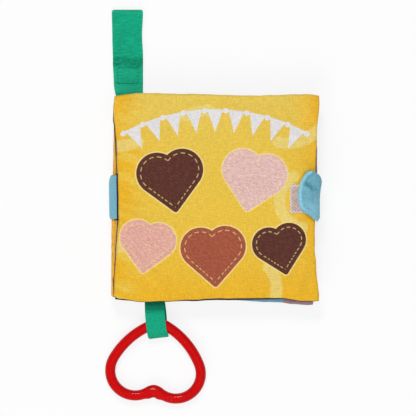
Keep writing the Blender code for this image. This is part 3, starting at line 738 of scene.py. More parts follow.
def teether_material():
    """Glossy moulded plastic, very slightly uneven, with faint rubbing marks in its gloss and painted shade
    on the lower sides of its bar.
    """
    made, g, shader = start_material("glossy teether plastic")
    place = g.place()
    cloud = g.noise(place, 60.0, 3.0)
    _x, _y, z = g.split(place)
    red = g.mix(cloud * 0.6, RED, RED_DEEP)
    # Painted shade: a deeper red on the lower sides of the bar
    below = g.clamp((7.0 * MM - z) / (1.5 * MM))
    g.feed(shader.inputs["Base Color"], g.mix(below * 0.8, red, RED_SIDE_SHADE))
    g.feed(shader.inputs["Roughness"], g.noise(place, 420.0, 4.0, 0.7) * 0.08 + 0.11)
    g.bump(shader, cloud, 0.02 * MM, 0.3)
    shader.inputs["Specular IOR Level"].default_value = 0.17
    return made


def smooth_between(points, share):
    """A value at a share, eased between given points."""
    for (low, start), (high, end) in zip(points, points[1:]):
        if share <= high:
            part = (share - low) / (high - low)
            return start + (end - start) * part * part * (3 - 2 * part)
    return points[-1][1]


def curve_through(points, share):
    """A place on a smooth curve through points, at a share of its length from 0 to 1."""
    last = len(points) - 1
    place = min(max(share, 0), 1) * last
    index = min(int(place), last - 1)
    t = place - index
    a, b, c, d = (Vector(points[min(max(index + k, 0), last)]) for k in (-1, 0, 1, 2))
    return 0.5 * (2 * b + (c - a) * t + (2 * a - 5 * b + 4 * c - d) * t**2
                  + (3 * b - a - 3 * c + d) * t**3)


def path_length(points):
    """The length of a line of points."""
    return sum((Vector(b) - Vector(a)).length for a, b in zip(points, points[1:]))


def within(value, low=0.0, high=1.0):
    """A value kept between two limits."""
    return max(low, min(high, value))


def hump(distance, reach, power=2):
    """A soft hump: 1 at its middle, and next to nothing past its reach."""
    return math.exp(-(distance / reach) ** power)


def round_off(near):
    """How far a quarter circle has turned away, from 0 where it starts to 1 at its end."""
    return 1 - math.sqrt(max(0, 1 - near**2))


def waver(seed, *place):
    """Smooth noise between -1 and 1, the same on each run."""
    x, y, z = (tuple(place) + (0, 0, 0))[:3]
    return noise.noise(Vector((x + 17.3 * seed, y - 9.1 * seed, z + 4.7 * seed)))


def corners(node):
    """The low and the high corner of a CAD node's box."""
    low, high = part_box(node)
    return Vector(low), Vector(high)


def new_object(name, bm, *materials):
    """Make an object of a mesh that is already in place."""
    mesh = bpy.data.meshes.new(name)
    bm.to_mesh(mesh)
    bm.free()
    for stuff in materials:
        mesh.materials.append(stuff)
    made = bpy.data.objects.new(name, mesh)
    bpy.context.scene.collection.objects.link(made)
    return made


def apply_modifiers(obj):
    """Turn an object's modifiers into its mesh, with the object selected alone."""
    bpy.ops.object.select_all(action="DESELECT")
    obj.select_set(True)
    bpy.context.view_layer.objects.active = obj
    for modifier in list(obj.modifiers):
        bpy.ops.object.modifier_apply(modifier=modifier.name)
    obj.data.shade_smooth()


def even(count):
    """Shares from -1 to 1 in even steps."""
    return [2 * k / count - 1 for k in range(count + 1)]


def edged(inner, count, *outer):
    """Even shares over the middle of a strap, with closer ones at both of its edges."""
    return [-share for share in reversed(outer)] + [inner * share for share in even(count)] + list(outer)


def grid(name, columns, rows, place, stuff, cloth_map=None, cut_out=None):
    """A sheet of points given by a function of two shares, with its own map in metres.

    The sheet is left open where a row's middle lies within cut_out."""
    bm = bmesh.new()
    layer = bm.loops.layers.uv.new("cloth")
    points = [[bm.verts.new(place(s, t)) for s in columns] for t in rows]
    for j in range(len(rows) - 1):
        if cut_out and cut_out[0] < (rows[j] + rows[j + 1]) / 2 < cut_out[1]:
            continue
        for i in range(len(columns) - 1):
            cell = ((i, j), (i + 1, j), (i + 1, j + 1), (i, j + 1))
            face = bm.faces.new([points[b][a] for a, b in cell])
            for loop, (a, b) in zip(face.loops, cell):
                spot = cloth_map(columns[a], rows[b]) if cloth_map else loop.vert.co
                loop[layer].uv = (spot[0], spot[1])
    bmesh.ops.delete(bm, geom=[vert for vert in bm.verts if not vert.link_faces], context="VERTS")
    return new_object(name, bm, stuff)


def thicken(obj, thickness, offset=0.0, rounded=0.0, even_wall=True):
    """Give a sheet its thickness, and round its cut edges."""
    wall = obj.modifiers.new("thickness", "SOLIDIFY")
    wall.thickness = thickness
    wall.offset = offset
    wall.use_even_offset = even_wall
    if rounded:
        edge = obj.modifiers.new("rounded edge", "BEVEL")
        edge.width = rounded
        edge.segments = EDGE_STEPS
        edge.limit_method = "ANGLE"
        edge.angle_limit = EDGE_ANGLE
    apply_modifiers(obj)


def skin(bm, rings):
    """Join rings of points, one after another, into a closed bar."""
    for ring, following in zip(rings, rings[1:]):
        for side in range(len(ring)):
            after = (side + 1) % len(ring)
            bm.faces.new((ring[side], ring[after], following[after], following[side]))
    bm.faces.new(rings[0][::-1])
    bm.faces.new(rings[-1])


def finish_rolled(name, bm, stuff):
    """Make a piece of closed rolls or bars, with their faces outwards."""
    bmesh.ops.recalc_face_normals(bm, faces=bm.faces)
    made = new_object(name, bm, stuff)
    made.data.shade_smooth()
    return made


def declare_sheet(piece, slot, nodes, body=None, **facts):
    """Hide the CAD nodes that a piece of cloth replaces, and attach it to its body. Its slot and its facts,
    such as its flat size, are not used.
    """
    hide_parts(*nodes)
    if body:
        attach(piece, body)


SPINE_LOW, SPINE_HIGH = corners("spine_binding")
SPINE_MIDDLE = (SPINE_LOW + SPINE_HIGH) / 2
BAND_LOW, BAND_HIGH = corners("closure_band")
BAND_MIDDLE_Y = (BAND_LOW.y + BAND_HIGH.y) / 2
BAND_HALF = (BAND_HIGH.y - BAND_LOW.y) / 2


def spine_lean(y):
    """How far the spine leans in at a place along it."""
    share = 2 * (y - SPINE_LOW.y) / (SPINE_HIGH.y - SPINE_LOW.y) - 1
    return MM * smooth_between(SPINE_LEAN, within(share, -1, 1))


def pattern_lines(half, cell=CELL):
    """The lines of a leaf's pattern: close at the seam, then even to the middle, and back."""
    near = [distance * MM for distance in (SEAM_LINES if cell == CELL else COARSE_LINES)]
    count = max(1, round((half - near[-1]) / cell))
    near += [near[-1] + (half - near[-1]) * k / count for k in range(1, count)]
    low = [distance / half - 1 for distance in near]
    return low + [0] + [-share for share in reversed(low)]


def rim_height(nearest):
    """Half the thickness of the sewn rim at a distance from its seam."""
    return RIM * (1 - round_off(1 - min(1, nearest / RIM_WIDTH)))


class Leaf:
    """The outline and the crown of one padded leaf, worked out from its box."""

    def __init__(self, name, sides, seed, channel=None, roll=NO_ROLL, spine_roll=NO_ROLL):
        self.name = name
        self.low = corners(f"{name}_lower_cloth")[0]
        self.high = corners(f"{name}_upper_cloth")[1]
        self.middle = (self.low + self.high) / 2
        self.half = (self.high - self.low) / 2
        self.sides = sides
        self.seed = seed
        self.channel = channel
        self.roll = roll
        self.spine_roll = spine_roll
        self.moves = None

    def from_edges(self, s, t):
        """How far a point is from the nearest side and from the nearest end."""
        return (1 - abs(s)) * self.half.x, (1 - abs(t)) * self.half.y

    def place(self, s, t, side=1):
        """Where a point of the pattern lies, seen from above."""
        left = self.low.x - MM * smooth_between(self.sides["left"], t)
        right = self.high.x + MM * smooth_between(self.sides["right"], t)
        bottom = self.low.y - MM * smooth_between(self.sides["bottom"], s)
        if side < 0:
            bottom -= MM * smooth_between(self.roll, s)
            left -= MM * smooth_between(self.spine_roll, t)
        top = self.high.y + MM * smooth_between(self.sides["top"], s)
        left -= RIPPLE * waver(self.seed, t * 11, 3)
        right += RIPPLE * waver(self.seed, t * 11, 7)
        bottom -= RIPPLE * waver(self.seed, s * 12, 11)
        top += RIPPLE * waver(self.seed, s * 12, 15)
        ease = CORNER_EASE * abs(s * t) ** CORNER_POWER
        x = left + (right - left) * (s + 1) / 2 - math.copysign(ease, s)
        y = bottom + (top - bottom) * (t + 1) / 2 - math.copysign(ease, t)
        return x, y

    def height(self, s, t, side):
        """Half the thickness at a point: a round rim, a full shoulder, puckers and dents."""
        from_side, from_end = self.from_edges(s, t)
        nearest = min(from_side, from_end)
        rise = 1
        for distance in (from_side, from_end):
            rise *= 1 - (1 - min(1, distance / SHOULDER)) ** SHOULDER_POWER
        height = rim_height(nearest) + (self.half.z - RIM) * rise
        x, y = s * self.half.x, t * self.half.y
        along = y if from_side < from_end else x
        fade = math.exp(-nearest / PUCKER_REACH) * min(1, nearest / PUCKER_START)
        pitch, depth = FINE_PUCKER
        pucker = waver(self.seed + side, along / pitch, nearest / depth, side)
        pitch, depth = BROAD_PUCKER
        pucker += 0.6 * waver(self.seed - side, along / pitch, nearest / depth, 5)
        dent = waver(self.seed + 3 * side, x / DENT_SIZE, y / DENT_SIZE, side)
        dent += 0.45 * waver(self.seed + 4, 2.3 * x / DENT_SIZE, 2.3 * y / DENT_SIZE, side)
        return height + PUCKER * pucker * fade + DENT * min(DENT_TOP, dent) * rise

    def sheet(self, side):
        """One side of the leaf as a function of the pattern: 1 is the upper cloth, -1 the lower."""
        def place(s, t):
            x, y = self.place(s, t, side)
            most = self.half.z + CROWN_SPARE[side]
            if self.channel and side < 0:
                low, high, depth = self.channel
                most = min(most, depth + max(0, low - y, y - high) * CHANNEL_SLOPE)
            spot = Vector((x, y, self.middle.z + side * min(self.height(s, t, side), most)))
            if self.moves:
                spot += move_at(self.moves, side, s, t)
                least = 0.95 * rim_height(min(self.from_edges(s, t)))
                height = min(side * (spot.z - self.middle.z), most)
                spot.z = self.middle.z + side * max(least, height)
            return spot
        return place


def settle(leaf):
    """Fill the sewn leaf and let its cloth settle, and keep how far each point moves."""
    columns, rows = (pattern_lines(half, SETTLE_CELL) for half in (leaf.half.x, leaf.half.y))
    bm = bmesh.new()
    verts = {}
    seam = set()
    for side in (1, -1):
        sheet = leaf.sheet(side)
        for j, t in enumerate(rows):
            for i, s in enumerate(columns):
                sewn = i in (0, len(columns) - 1) or j in (0, len(rows) - 1)
                if side < 0 and sewn:
                    verts[side, i, j] = verts[1, i, j]
                else:
                    verts[side, i, j] = bm.verts.new(sheet(s, t))
                if sewn:
                    seam.add(verts[side, i, j])
        for j in range(len(rows) - 1):
            for i in range(len(columns) - 1):
                cell = ((i, j), (i + 1, j), (i + 1, j + 1), (i, j + 1))
                bm.faces.new([verts[side, a, b] for a, b in cell[::side]])
    bm.verts.index_update()
    order = {key: vert.index for key, vert in verts.items()}
    seam = sorted(vert.index for vert in seam)
    pillow = new_object(f"{leaf.name}_settling", bm)
    before = [vert.co.copy() for vert in pillow.data.vertices]
    pillow.vertex_groups.new(name="seam").add(seam, 1.0, "REPLACE")
    cloth = pillow.modifiers.new("cloth", "CLOTH")
    for name, value in SETTLE_CLOTH.items():
        setattr(cloth.settings, name, value)
    cloth.settings.effector_weights.gravity = 0
    cloth.collision_settings.use_collision = False
    scene = bpy.context.scene
    for step in range(1, SETTLE_STEPS + 1):
        scene.frame_set(step)
    settled = pillow.evaluated_get(bpy.context.evaluated_depsgraph_get()).to_mesh()
    moved = [vert.co - start for vert, start in zip(settled.vertices, before)]
    mesh = pillow.data
    bpy.data.objects.remove(pillow)
    bpy.data.meshes.remove(mesh)
    scene.frame_set(1)
    table = {key: moved[index] for key, index in order.items()}
    leaf.moves = (columns, rows, keep_wrinkles(leaf, columns, rows, table))


def spread_out(values, reach):
    """Each value of a row replaced by the mean of its neighbours within a reach."""
    means = []
    for k in range(len(values)):
        near = values[max(0, k - reach):k + reach + 1]
        means.append(sum(near, Vector((0, 0, 0))) / len(near))
    return means


def keep_wrinkles(leaf, columns, rows, table):
    """Take the broad swelling off the settled cloth, so that its folds and puckers are left."""
    kept = {}
    for side in (1, -1):
        broad = [spread_out([table[side, i, j] for i in range(len(columns))], SETTLE_REACH)
                 for j in range(len(rows))]
        broad = [spread_out([row[i] for row in broad], SETTLE_REACH) for i in range(len(columns))]
        for i, s in enumerate(columns):
            for j, t in enumerate(rows):
                freedom = min(1, min(leaf.from_edges(s, t)) / SETTLE_FREE)
                move = (table[side, i, j] - broad[i][j]) * freedom
                kept[side, i, j] = move * SETTLE_CAP / (SETTLE_CAP + move.length)
    return kept


def move_at(moves, side, s, t):
    """How far the settled cloth moved at a place, read smoothly between the settled points."""
    columns, rows, table = moves
    i = min(max(bisect_right(columns, s) - 1, 0), len(columns) - 2)
    j = min(max(bisect_right(rows, t) - 1, 0), len(rows) - 2)
    u = (s - columns[i]) / (columns[i + 1] - columns[i])
    v = (t - rows[j]) / (rows[j + 1] - rows[j])

    def weights(w):
        return ((-w + 2 * w**2 - w**3) / 2, (2 - 5 * w**2 + 3 * w**3) / 2,
                (w + 4 * w**2 - 3 * w**3) / 2, (w**3 - w**2) / 2)

    total = Vector((0, 0, 0))
    for b, weight_b in enumerate(weights(v)):
        row = min(max(j + b - 1, 0), len(rows) - 1)
        for a, weight_a in enumerate(weights(u)):
            column = min(max(i + a - 1, 0), len(columns) - 1)
            total += weight_a * weight_b * table[side, column, row]
    return total


def build_leaf(leaf, upper, lower, upper_slot, lower_slot, body):
    """The two cloths of a leaf, sewn together along the rim."""
    settle(leaf)
    columns, rows = pattern_lines(leaf.half.x), pattern_lines(leaf.half.y)
    made = []
    for side, stuff, slot, part in ((1, upper, upper_slot, "upper"), (-1, lower, lower_slot, "lower")):
        sheet = grid(f"{leaf.name}_{part}_face", columns, rows[::side], leaf.sheet(side), stuff)
        thicken(sheet, CLOTH, offset=-1)
        made.append(sheet)
    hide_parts(f"{leaf.name}_upper_cloth", f"{leaf.name}_batting", f"{leaf.name}_crinkle_film")
    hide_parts(f"{leaf.name}_lower_cloth")
    for sheet in made:
        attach(sheet, body)


def build_strip(leaf, stuff, slot, body, inward, cut_out=True):
    """The strip that runs from a leaf's spine seam in to the rolled spine."""
    low, high = corners(f"{leaf.name}_hinge_strip")
    end_z = low.z if leaf.middle.z > SPINE_MIDDLE.z else high.z
    half = (high.y - low.y) / 2
    past_edge, past_axis, end_back = 0.4 * MM, 2.5 * MM, 0.6 * MM

    def place(s, t):
        y = t * half
        edge = leaf.low.x - MM * smooth_between(leaf.sides["left"], t)
        share = (s + 1) / 2
        axis = SPINE_MIDDLE.x + spine_lean(y)
        inside = axis + inward
        path = ((edge + STRIP_TUCK, leaf.middle.z), (max(inside, edge + past_edge), leaf.middle.z),
                (max(inside, min(edge, axis + past_axis)), (leaf.middle.z * 2 + end_z) / 3),
                (inside - end_back, end_z))
        spot = curve_through([(x, 0, z) for x, z in path], share)
        fold = STRIP_FOLD * waver(leaf.seed, y / STRIP_FOLD_PITCH, share * 2) * math.sin(math.pi * share)
        return spot.x + fold, y, spot.z

    room = (0, 0)
    if cut_out:
        room = ((BAND_LOW.y - CUT_OUT_MARGIN) / half, (BAND_HIGH.y + CUT_OUT_MARGIN) / half)
    columns, rows = map(even, STRIP_CELLS)
    strip = grid(f"{leaf.name}_spine_strip", columns, rows, place, stuff, cut_out=room)
    thicken(strip, STRIP)
    kept = 2 * half - (room[1] - room[0]) * half
    declare_sheet(strip, slot, [f"{leaf.name}_hinge_strip"], body, flat=(2 * half, STRIP_WIDTH),
                  area=kept * STRIP_WIDTH, held="stretched", rests_on=["spine_roll"])


def build_spine(stuff):
    """The rolled cloth of the spine, puckered by its stitching."""
    radius = (SPINE_HIGH.z - SPINE_LOW.z) / 2 + SPINE_SPARE
    bottom, top = SPINE_LOW.y + SPINE_SHORT, SPINE_HIGH.y - SPINE_SHORT
    bm = bmesh.new()
    rings = []
    for k in range(SPINE_STEPS + 1):
        y = bottom + (top - bottom) * k / SPINE_STEPS
        end = min(1, min(y - bottom, top - y) / SPINE_END)
        taper = SPINE_END_SHARE + (1 - SPINE_END_SHARE) * (1 - round_off(1 - end))
        ring = []
        for side in range(SPINE_SIDES):
            angle = math.tau * side / SPINE_SIDES
            pucker = SPINE_PUCKER * waver(3, y / SPINE_PUCKER_PITCH, math.cos(angle), math.sin(angle))
            wide = radius * (1 + pucker) * taper
            x = SPINE_MIDDLE.x + spine_lean(y) + wide * math.cos(angle)
            ring.append(bm.verts.new((x, y, SPINE_MIDDLE.z + wide * math.sin(angle))))
        rings.append(ring)
    skin(bm, rings)
    roll = finish_rolled("spine_roll", bm, stuff)
    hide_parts("spine_binding")
    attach(roll, "book_back")


# A stitch's rings from end to end: along it as a share of its length, and wide and up as shares
# of its thread's radius
STITCH_RINGS = ((-0.5, 0.35, -0.9), (-0.32, 0.95, 0.1), (0, 1.0, 0.35), (0.32, 0.95, 0.1), (0.5, 0.35, -0.9))


def stitches(name, paths, stuff, length, radius, body):
    """Short stitches of thread, each a small rounded bar that bows up out of the cloth."""
    bm = bmesh.new()
    turns = [math.tau * k / THREAD_SIDES for k in range(THREAD_SIDES)]
    for start, end in paths:
        middle = (start + end) / 2
        ahead = (end - start).normalized()
        out = ahead.cross(Vector(UP)).normalized()
        rise = out.cross(ahead)
        rings = []
        for along, wide, lift in STITCH_RINGS:
            spot = middle + ahead * along * length + rise * lift * radius
            rings.append([bm.verts.new(spot + wide * radius * (math.cos(a) * out + math.sin(a) * rise))
                          for a in turns])
        skin(bm, rings)
    made = finish_rolled(name, bm, stuff)
    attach(made, body)


def stitch_line(points, pitch):
    """Where each stitch starts and ends along a line of points."""
    spots = [Vector(point) for point in points]
    lengths = [(b - a).length for a, b in zip(spots, spots[1:])]
    total = sum(lengths)
    count = max(1, round(total / pitch))
    starts, ends = 0.15, 0.85

    def at(distance):
        for a, b, length in zip(spots, spots[1:], lengths):
            if distance <= length:
                return a.lerp(b, distance / length if length else 0)
            distance -= length
        return spots[-1]

    return [(at(total * (k + starts) / count), at(total * (k + ends) / count)) for k in range(count)]


def bend_on(centre, turned, steps):
    """Carry the selected end of a bar on round a centre."""
    bpy.ops.mesh.spin(steps=steps, angle=-turned, center=(*centre, 0), axis=UP)


def build_heart(stuff):
    """The heart ring: a round bar bent along arcs that run into each other."""
    joint = next(j for j in frame["joints"] if j["name"] == "teether_swing")
    tip = Vector(joint["pos_m"]) + Vector((0, 0, BAR_RISE))
    normal = Vector(joint["axis"]).normalized()
    tilt = math.atan2(-normal.y, normal.z)
    turn = Matrix.Translation(tip) @ Matrix.Rotation(tilt, 4, "X") @ Matrix.Rotation(HEART_TURN, 4, "Z")
    lobe = Vector((LOBE_OFFSET, -LOBE_DROP))
    to_tip, to_lobe = SIDE_RADIUS - TIP_RADIUS, SIDE_RADIUS - LOBE_RADIUS
    share = (to_tip**2 - to_lobe**2 + lobe.length_squared) / (2 * to_tip * lobe.length)
    facing = math.atan2(lobe.y, lobe.x) - math.acos(share)
    side = to_tip * Vector((math.cos(facing), math.sin(facing)))
    tip_angle = math.atan2(-side.y, -side.x)
    lobe_angle = math.atan2(lobe.y - side.y, lobe.x - side.x)
    drop = math.sqrt((LOBE_RADIUS + CLEFT_RADIUS) ** 2 - LOBE_OFFSET**2)
    cleft = Vector((0, lobe.y - drop))
    cleft_angle = math.atan2(lobe.y - cleft.y, LOBE_OFFSET)

    bpy.ops.object.select_all(action="DESELECT")
    bpy.ops.mesh.primitive_circle_add(vertices=BAR_SIDES, radius=BAR_RADIUS, location=(0, TIP_RADIUS, 0),
                                      rotation=(0, math.pi / 2, 0))
    ring = bpy.context.object
    ring.name = "teether_ring"
    bpy.ops.object.transform_apply(location=True, rotation=True, scale=True)
    bpy.ops.object.mode_set(mode="EDIT")
    bpy.ops.mesh.select_all(action="SELECT")
    bend_on((0, 0), tip_angle - math.pi / 2, TIP_STEPS)
    bend_on(side, lobe_angle - tip_angle, SIDE_STEPS)
    bend_on(lobe, cleft_angle - math.pi - lobe_angle, LOBE_STEPS)
    bend_on(cleft, math.pi / 2 - cleft_angle, CLEFT_STEPS)
    inside = (0, cleft.y + CLEFT_RADIUS + BAR_RADIUS, 0)
    bpy.ops.transform.resize(value=(1, CLEFT_FILL, 1), center_override=inside, use_proportional_edit=True,
                             proportional_edit_falloff="SMOOTH", proportional_size=CLEFT_REACH)
    bpy.ops.object.mode_set(mode="OBJECT")
    ring.modifiers.new("other half", "MIRROR").merge_threshold = 0.05 * MM
    apply_modifiers(ring)
    bpy.ops.object.mode_set(mode="EDIT")
    bpy.ops.mesh.select_all(action="SELECT")
    bpy.ops.mesh.remove_doubles(threshold=0.01 * MM)
    bpy.ops.mesh.normals_make_consistent(inside=False)
    bpy.ops.object.mode_set(mode="OBJECT")
    ring.matrix_world = turn
    bpy.ops.object.transform_apply(location=True, rotation=True, scale=True)
    ring.data.materials.append(stuff)
    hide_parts("heart_teether")
    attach(ring, "teether")


def web_sides(y, root, end):
    """The strap's left and right side, with rounded corners at its end."""
    share = max(0, (y - root) / (end - root))
    inset = WEB_CORNER * round_off(max(0, WEB_CORNER - (end - y)) / WEB_CORNER)
    return MM * smooth_between(WEB_LEFT, share) + inset, MM * smooth_between(WEB_RIGHT, share) - inset


def lay_tone_light_and_shade(obj, pile):
    """Keep on each point of a cloth a tone in its pile attribute: above 0 lighter, below 0 deeper. It holds
    painted light and painted shade as well as the cloth's own random tone.
    """
    kept = obj.data.attributes.new("pile", "FLOAT", "POINT")
    for vert in obj.data.vertices:
        kept.data[vert.index].value = pile(vert.co)


def web_tone_light_and_shade(spot):
    """The webbing's tone: painted shade in the crease and where it goes in under the book, painted light on
    its flat and padded stretches and at its folded top, lighter at its edges, and a random mottle.
    """
    root_y, flat_y, padded_y, crease_y, top_y = 75.4, 80, 89.5, 99.6, 137.6
    x, y = spot.x / MM, spot.y / MM
    crease_y += 0.8 * math.sin(x / 2.3) - 0.12 * (x + 65)
    # Painted shade in the crease
    crease = (0.75 + 0.9 * waver(61, x / 2.2, y / 1.4)) * hump(y - crease_y, 3.9, 4)
    left, right = web_sides(spot.y, (root_y + 0.9) * MM, (top_y + 0.2) * MM)
    selvedge = hump(min(spot.x - left, right - spot.x), 0.9 * MM)
    # Painted light on the strap's folded top
    top = max(0, 1 - (top_y - y) / 3.5)
    # Painted light on the flat stretch by the book and on the padded stretch under the stitches
    flat, padded = hump(y - flat_y, 3.4, 4), hump(y - padded_y, 6.5, 4)
    mottle = 0.3 * waver(62, x / 1.5, y / 1.2)
    light_shade_and_tone = 0.3 * selvedge + 0.3 * top + 0.75 * flat + 0.35 * padded
    # Painted shade in the crease and where the strap goes in under the book
    return light_shade_and_tone + mottle - 0.75 * crease - 0.8 * hump(y - root_y, 1.1)


def web_relief(s, y):
    """The strap's own form: hollow under its stitches, then pressed in a crease with a ridge."""
    hollow_y, crease_y, ridge_y = 90 * MM, 100.5 * MM, 105.5 * MM
    hollow = -0.4 * MM * hump(y - hollow_y, 7 * MM, 4)
    crease = -0.75 * MM * hump(y - crease_y - 1.2 * MM * math.sin(3 * s), 2.6 * MM)
    ridge = 0.35 * MM * hump(y - ridge_y + 1.0 * MM * math.sin(4 * s), 2.2 * MM)
    wave = 0.16 * MM * waver(21, y / (7 * MM), s * 1.2) * min(1, abs(y - hollow_y) / (8 * MM))
    return hollow + crease + ridge + wave


class Strap:
    """The path of the webbing strap: out from the book, round its end and back beneath."""

    def __init__(self):
        self.low, self.high = corners("strap_web")
        self.flap_low, self.flap_high = corners("strap_flap")
        self.root, self.end = self.low.y, self.high.y + 0.6 * MM
        self.top = self.low.z + WEB / 2 + 0.1 * MM
        self.bottom = (self.flap_low.z + self.flap_high.z) / 2 + 0.05 * MM
        self.bend = (self.top - self.bottom) / 2
        self.straight = self.end - self.bend
        self.length_top = self.straight - self.root
        self.to_flap = self.length_top + math.pi * self.bend
        self.total = self.to_flap + self.straight - self.flap_low.y

    def place(self, s, t):
        along = (t + 1) / 2 * self.total
        inset = edge = 0
        if along < self.length_top:
            y = self.root + along
            at_book = hump(y - self.root, 5 * MM)
            z = self.top + (self.high.z - WEB / 2 - self.top) * at_book
            z += web_relief(s, y) * (1 - at_book) * min(1, (self.straight - y) / (4 * MM))
            edge = 0.12 * MM * hump((1 - abs(s)) * WEB_HALF, 1.1 * MM)
        elif along < self.to_flap:
            angle = (along - self.length_top) / self.bend
            y = self.straight + self.bend * math.sin(angle)
            z = self.bottom + self.bend + self.bend * math.cos(angle)
        else:
            y = self.straight - (along - self.to_flap)
            z = self.bottom + 0.05 * MM * waver(22, y / (9 * MM), s)
            inset = 0.55 * MM
        left, right = web_sides(min(y, self.end), self.root, self.end)
        return (left + right) / 2 + s * ((right - left) / 2 - inset), y, z + edge

    def top_at(self, x, y):
        """A place on the strap's upper face, found from its place seen from above."""
        middle = (self.low.x + self.high.x) / 2
        along = (y - self.root) / self.total * 2 - 1
        return x, y, self.place((x - middle) / WEB_HALF, along)[2] + WEB / 2


def sewn_end(name, node, place, stuff, cells, wall, rounded, width):
    """The end of a strap or ribbon that is sewn in between the back cover's cloths."""
    tail = grid(name, even(cells[0]), even(cells[1]), place, stuff,
                lambda s, t: (s * width / 2, t * SEWN_LENGTH / 2))
    thicken(tail, wall, rounded=rounded)
    declare_sheet(tail, "webbing", [node], "book_back", flat=(width, SEWN_LENGTH), held="stretched",
                  rests_on=["back_cover_upper_face"])


def build_strap(web, tape, thread):
    """The webbing strap: one length that folds over at its end and doubles back beneath."""
    strap = Strap()
    webbing = grid("strap_webbing", edged(0.85, 16, 0.9, 0.95, 0.985, 1), even(260), strap.place, web,
                   lambda s, t: (s * WEB_HALF, t * strap.total / 2))
    thicken(webbing, WEB, rounded=0.3 * MM)
    lay_tone_light_and_shade(webbing, web_tone_light_and_shade)
    declare_sheet(webbing, "webbing", ["strap_web", "strap_flap"], flat=(2 * WEB_HALF, strap.total),
                  held="folded", rests_on=[])
    # The fold's turn lies wholly between the two tapes, so that the strap's crease stays with the strap
    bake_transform(webbing)

    tail_low, tail_high = corners("strap_tail")
    inner, outer = tail_high.z - WEB / 2, strap.high.z - WEB / 2

    def tail_place(s, t):
        share = (t + 1) / 2
        y = strap.root - SEWN_LENGTH + (SEWN_LENGTH - 0.05 * MM) * share
        x = tail_low.x + (tail_high.x - tail_low.x) * (s + 1) / 2
        return x, y, inner + (outer - inner) * share**3

    sewn_end("strap_sewn_end", "strap_tail", tail_place, web, (12, 14), WEB * 0.9, 0.2 * MM, 20 * MM)
    for name, node, body in (("strap_hook_tape", "strap_hook_patch", "strap_flap"),
                             ("strap_loop_tape", "strap_loop_patch", "strap")):
        low, high = corners(node)
        middle, half = (low + high) / 2, (high - low) / 2
        lay_tape(name, node, tape, body, middle, half, lambda x, y, level=middle.z: level,
                 wall=min(TAPE, 2 * half.z))

    (left, right), (lower, upper) = BOX_SIDES, BOX_LINES
    paths = []
    for start, end in (((left, lower), (left, upper)), ((right, lower), (right, upper)),
                       ((left, lower), (right, lower)), ((left, upper), (right, upper))):
        line = [Vector(start).lerp(Vector(end), k / 8) for k in range(9)]
        paths += stitch_line([strap.top_at(*spot) for spot in line], STITCH_PITCH)
    stitches("strap_stitches", paths, thread, 1.5 * MM, 0.26 * MM, "strap")


def lay_tape(name, node, stuff, body, middle, half, height, rests_on=(), wall=TAPE,
             rounded=TAPE_ROUND, cells=20):
    """A patch of hook or loop tape round a middle, at a height given for each place."""
    def place(s, t):
        x, y = middle.x + s * half.x, middle.y + t * half.y
        return x, y, height(x, y)

    patch = grid(name, even(cells), even(cells), place, stuff)
    thicken(patch, wall, rounded=rounded)
    declare_sheet(patch, "hook_loop_tape", [node], body, flat=(2 * half.x, 2 * half.y), held="stretched",
                  rests_on=list(rests_on))
    return place


def build_ribbon(web):
    """The ribbon loop: out from under the cover, over the bar, round and back beneath."""
    low, high = corners("teether_ribbon")
    start_y, reach = high.y, high.y - low.y - 1.0 * MM
    apart = 0.5 * MM
    middle_z = (corners("back_cover_upper_cloth")[0].z + corners("back_cover_lower_cloth")[1].z) / 2
    top = corners("heart_teether")[1].z + BAR_RISE + RIBBON / 2 + 0.5 * MM
    floor = RIBBON / 2 + 0.1 * MM
    profile = (
        (0, middle_z + apart), (0.05, 5.0 * MM), (0.15, 7.6 * MM), (0.32, top - 0.2 * MM),
        (0.62, top + 0.2 * MM), (0.8, top), (0.925, 7.6 * MM), (0.995, 5.0 * MM),
        (0.96, 2.2 * MM), (0.86, floor + 0.2 * MM), (0.7, floor), (0.35, floor),
        (0.14, 1.0 * MM), (0, middle_z - apart),
    )
    fold_share = max(share for share, _z in profile)
    points = [(0, start_y - share * reach, z) for share, z in profile]
    length = path_length(points)
    left, right = RIBBON_SIDES
    middle, half = (left + right) / 2, (right - left) / 2

    def place(s, t):
        share = (t + 1) / 2
        spot = curve_through(points, share)
        along = (start_y - spot.y) / reach
        rear = smooth_between(((0, 0), (0.55, 0), (0.75, 1), (1, 1)), share)
        lean = RIBBON_LEAN * max(0, along) ** (2 - 1.5 * rear)
        slant = RIBBON_SLANT * s * along * (1 - rear)
        wave = 0.12 * MM * waver(31, spot.y / (6 * MM), s * 1.5, share * 4)
        flare = RIBBON_FLARE * max(0, s) * max(0, (along - 0.8) / 0.2) ** 2
        wide = half * (1 + 0.02 * along)
        wide -= RIBBON_NARROWING * round_off(within(1 - (fold_share - along) * reach / RIBBON_CORNER))
        return middle + s * wide + lean + flare, spot.y + slant, spot.z + wave

    ribbon = grid("ribbon_loop", edged(0.86, 12, 0.92, 0.97, 1), even(220), place, web,
                  lambda s, t: (s * RIBBON_HALF, t * length / 2))
    thicken(ribbon, RIBBON, rounded=0.2 * MM)
    lay_tone_light_and_shade(ribbon, lambda spot: 0.6 * waver(63, spot.x / (1.2 * MM), spot.y / (1.0 * MM)) + 0.12)
    declare_sheet(ribbon, "webbing", ["teether_ribbon"], "ribbon", flat=(2 * RIBBON_HALF, length),
                  held="folded", rests_on=["teether_ring"])

    outer, inner = middle_z + apart, corners("ribbon_tail")[1].z - RIBBON / 2

    def tail_place(s, t):
        share = (t + 1) / 2
        y = start_y + 0.1 * MM + SEWN_LENGTH * share
        return middle + s * half, y, outer + (inner - outer) * min(1, 1.6 * share) ** 0.6

    sewn_end("ribbon_sewn_end", "ribbon_tail", tail_place, web, (10, 16), RIBBON * 0.9, 0.15 * MM,
             2 * RIBBON_HALF)


RISER_OUTER = corners("closure_riser")[0].x - 0.8 * MM


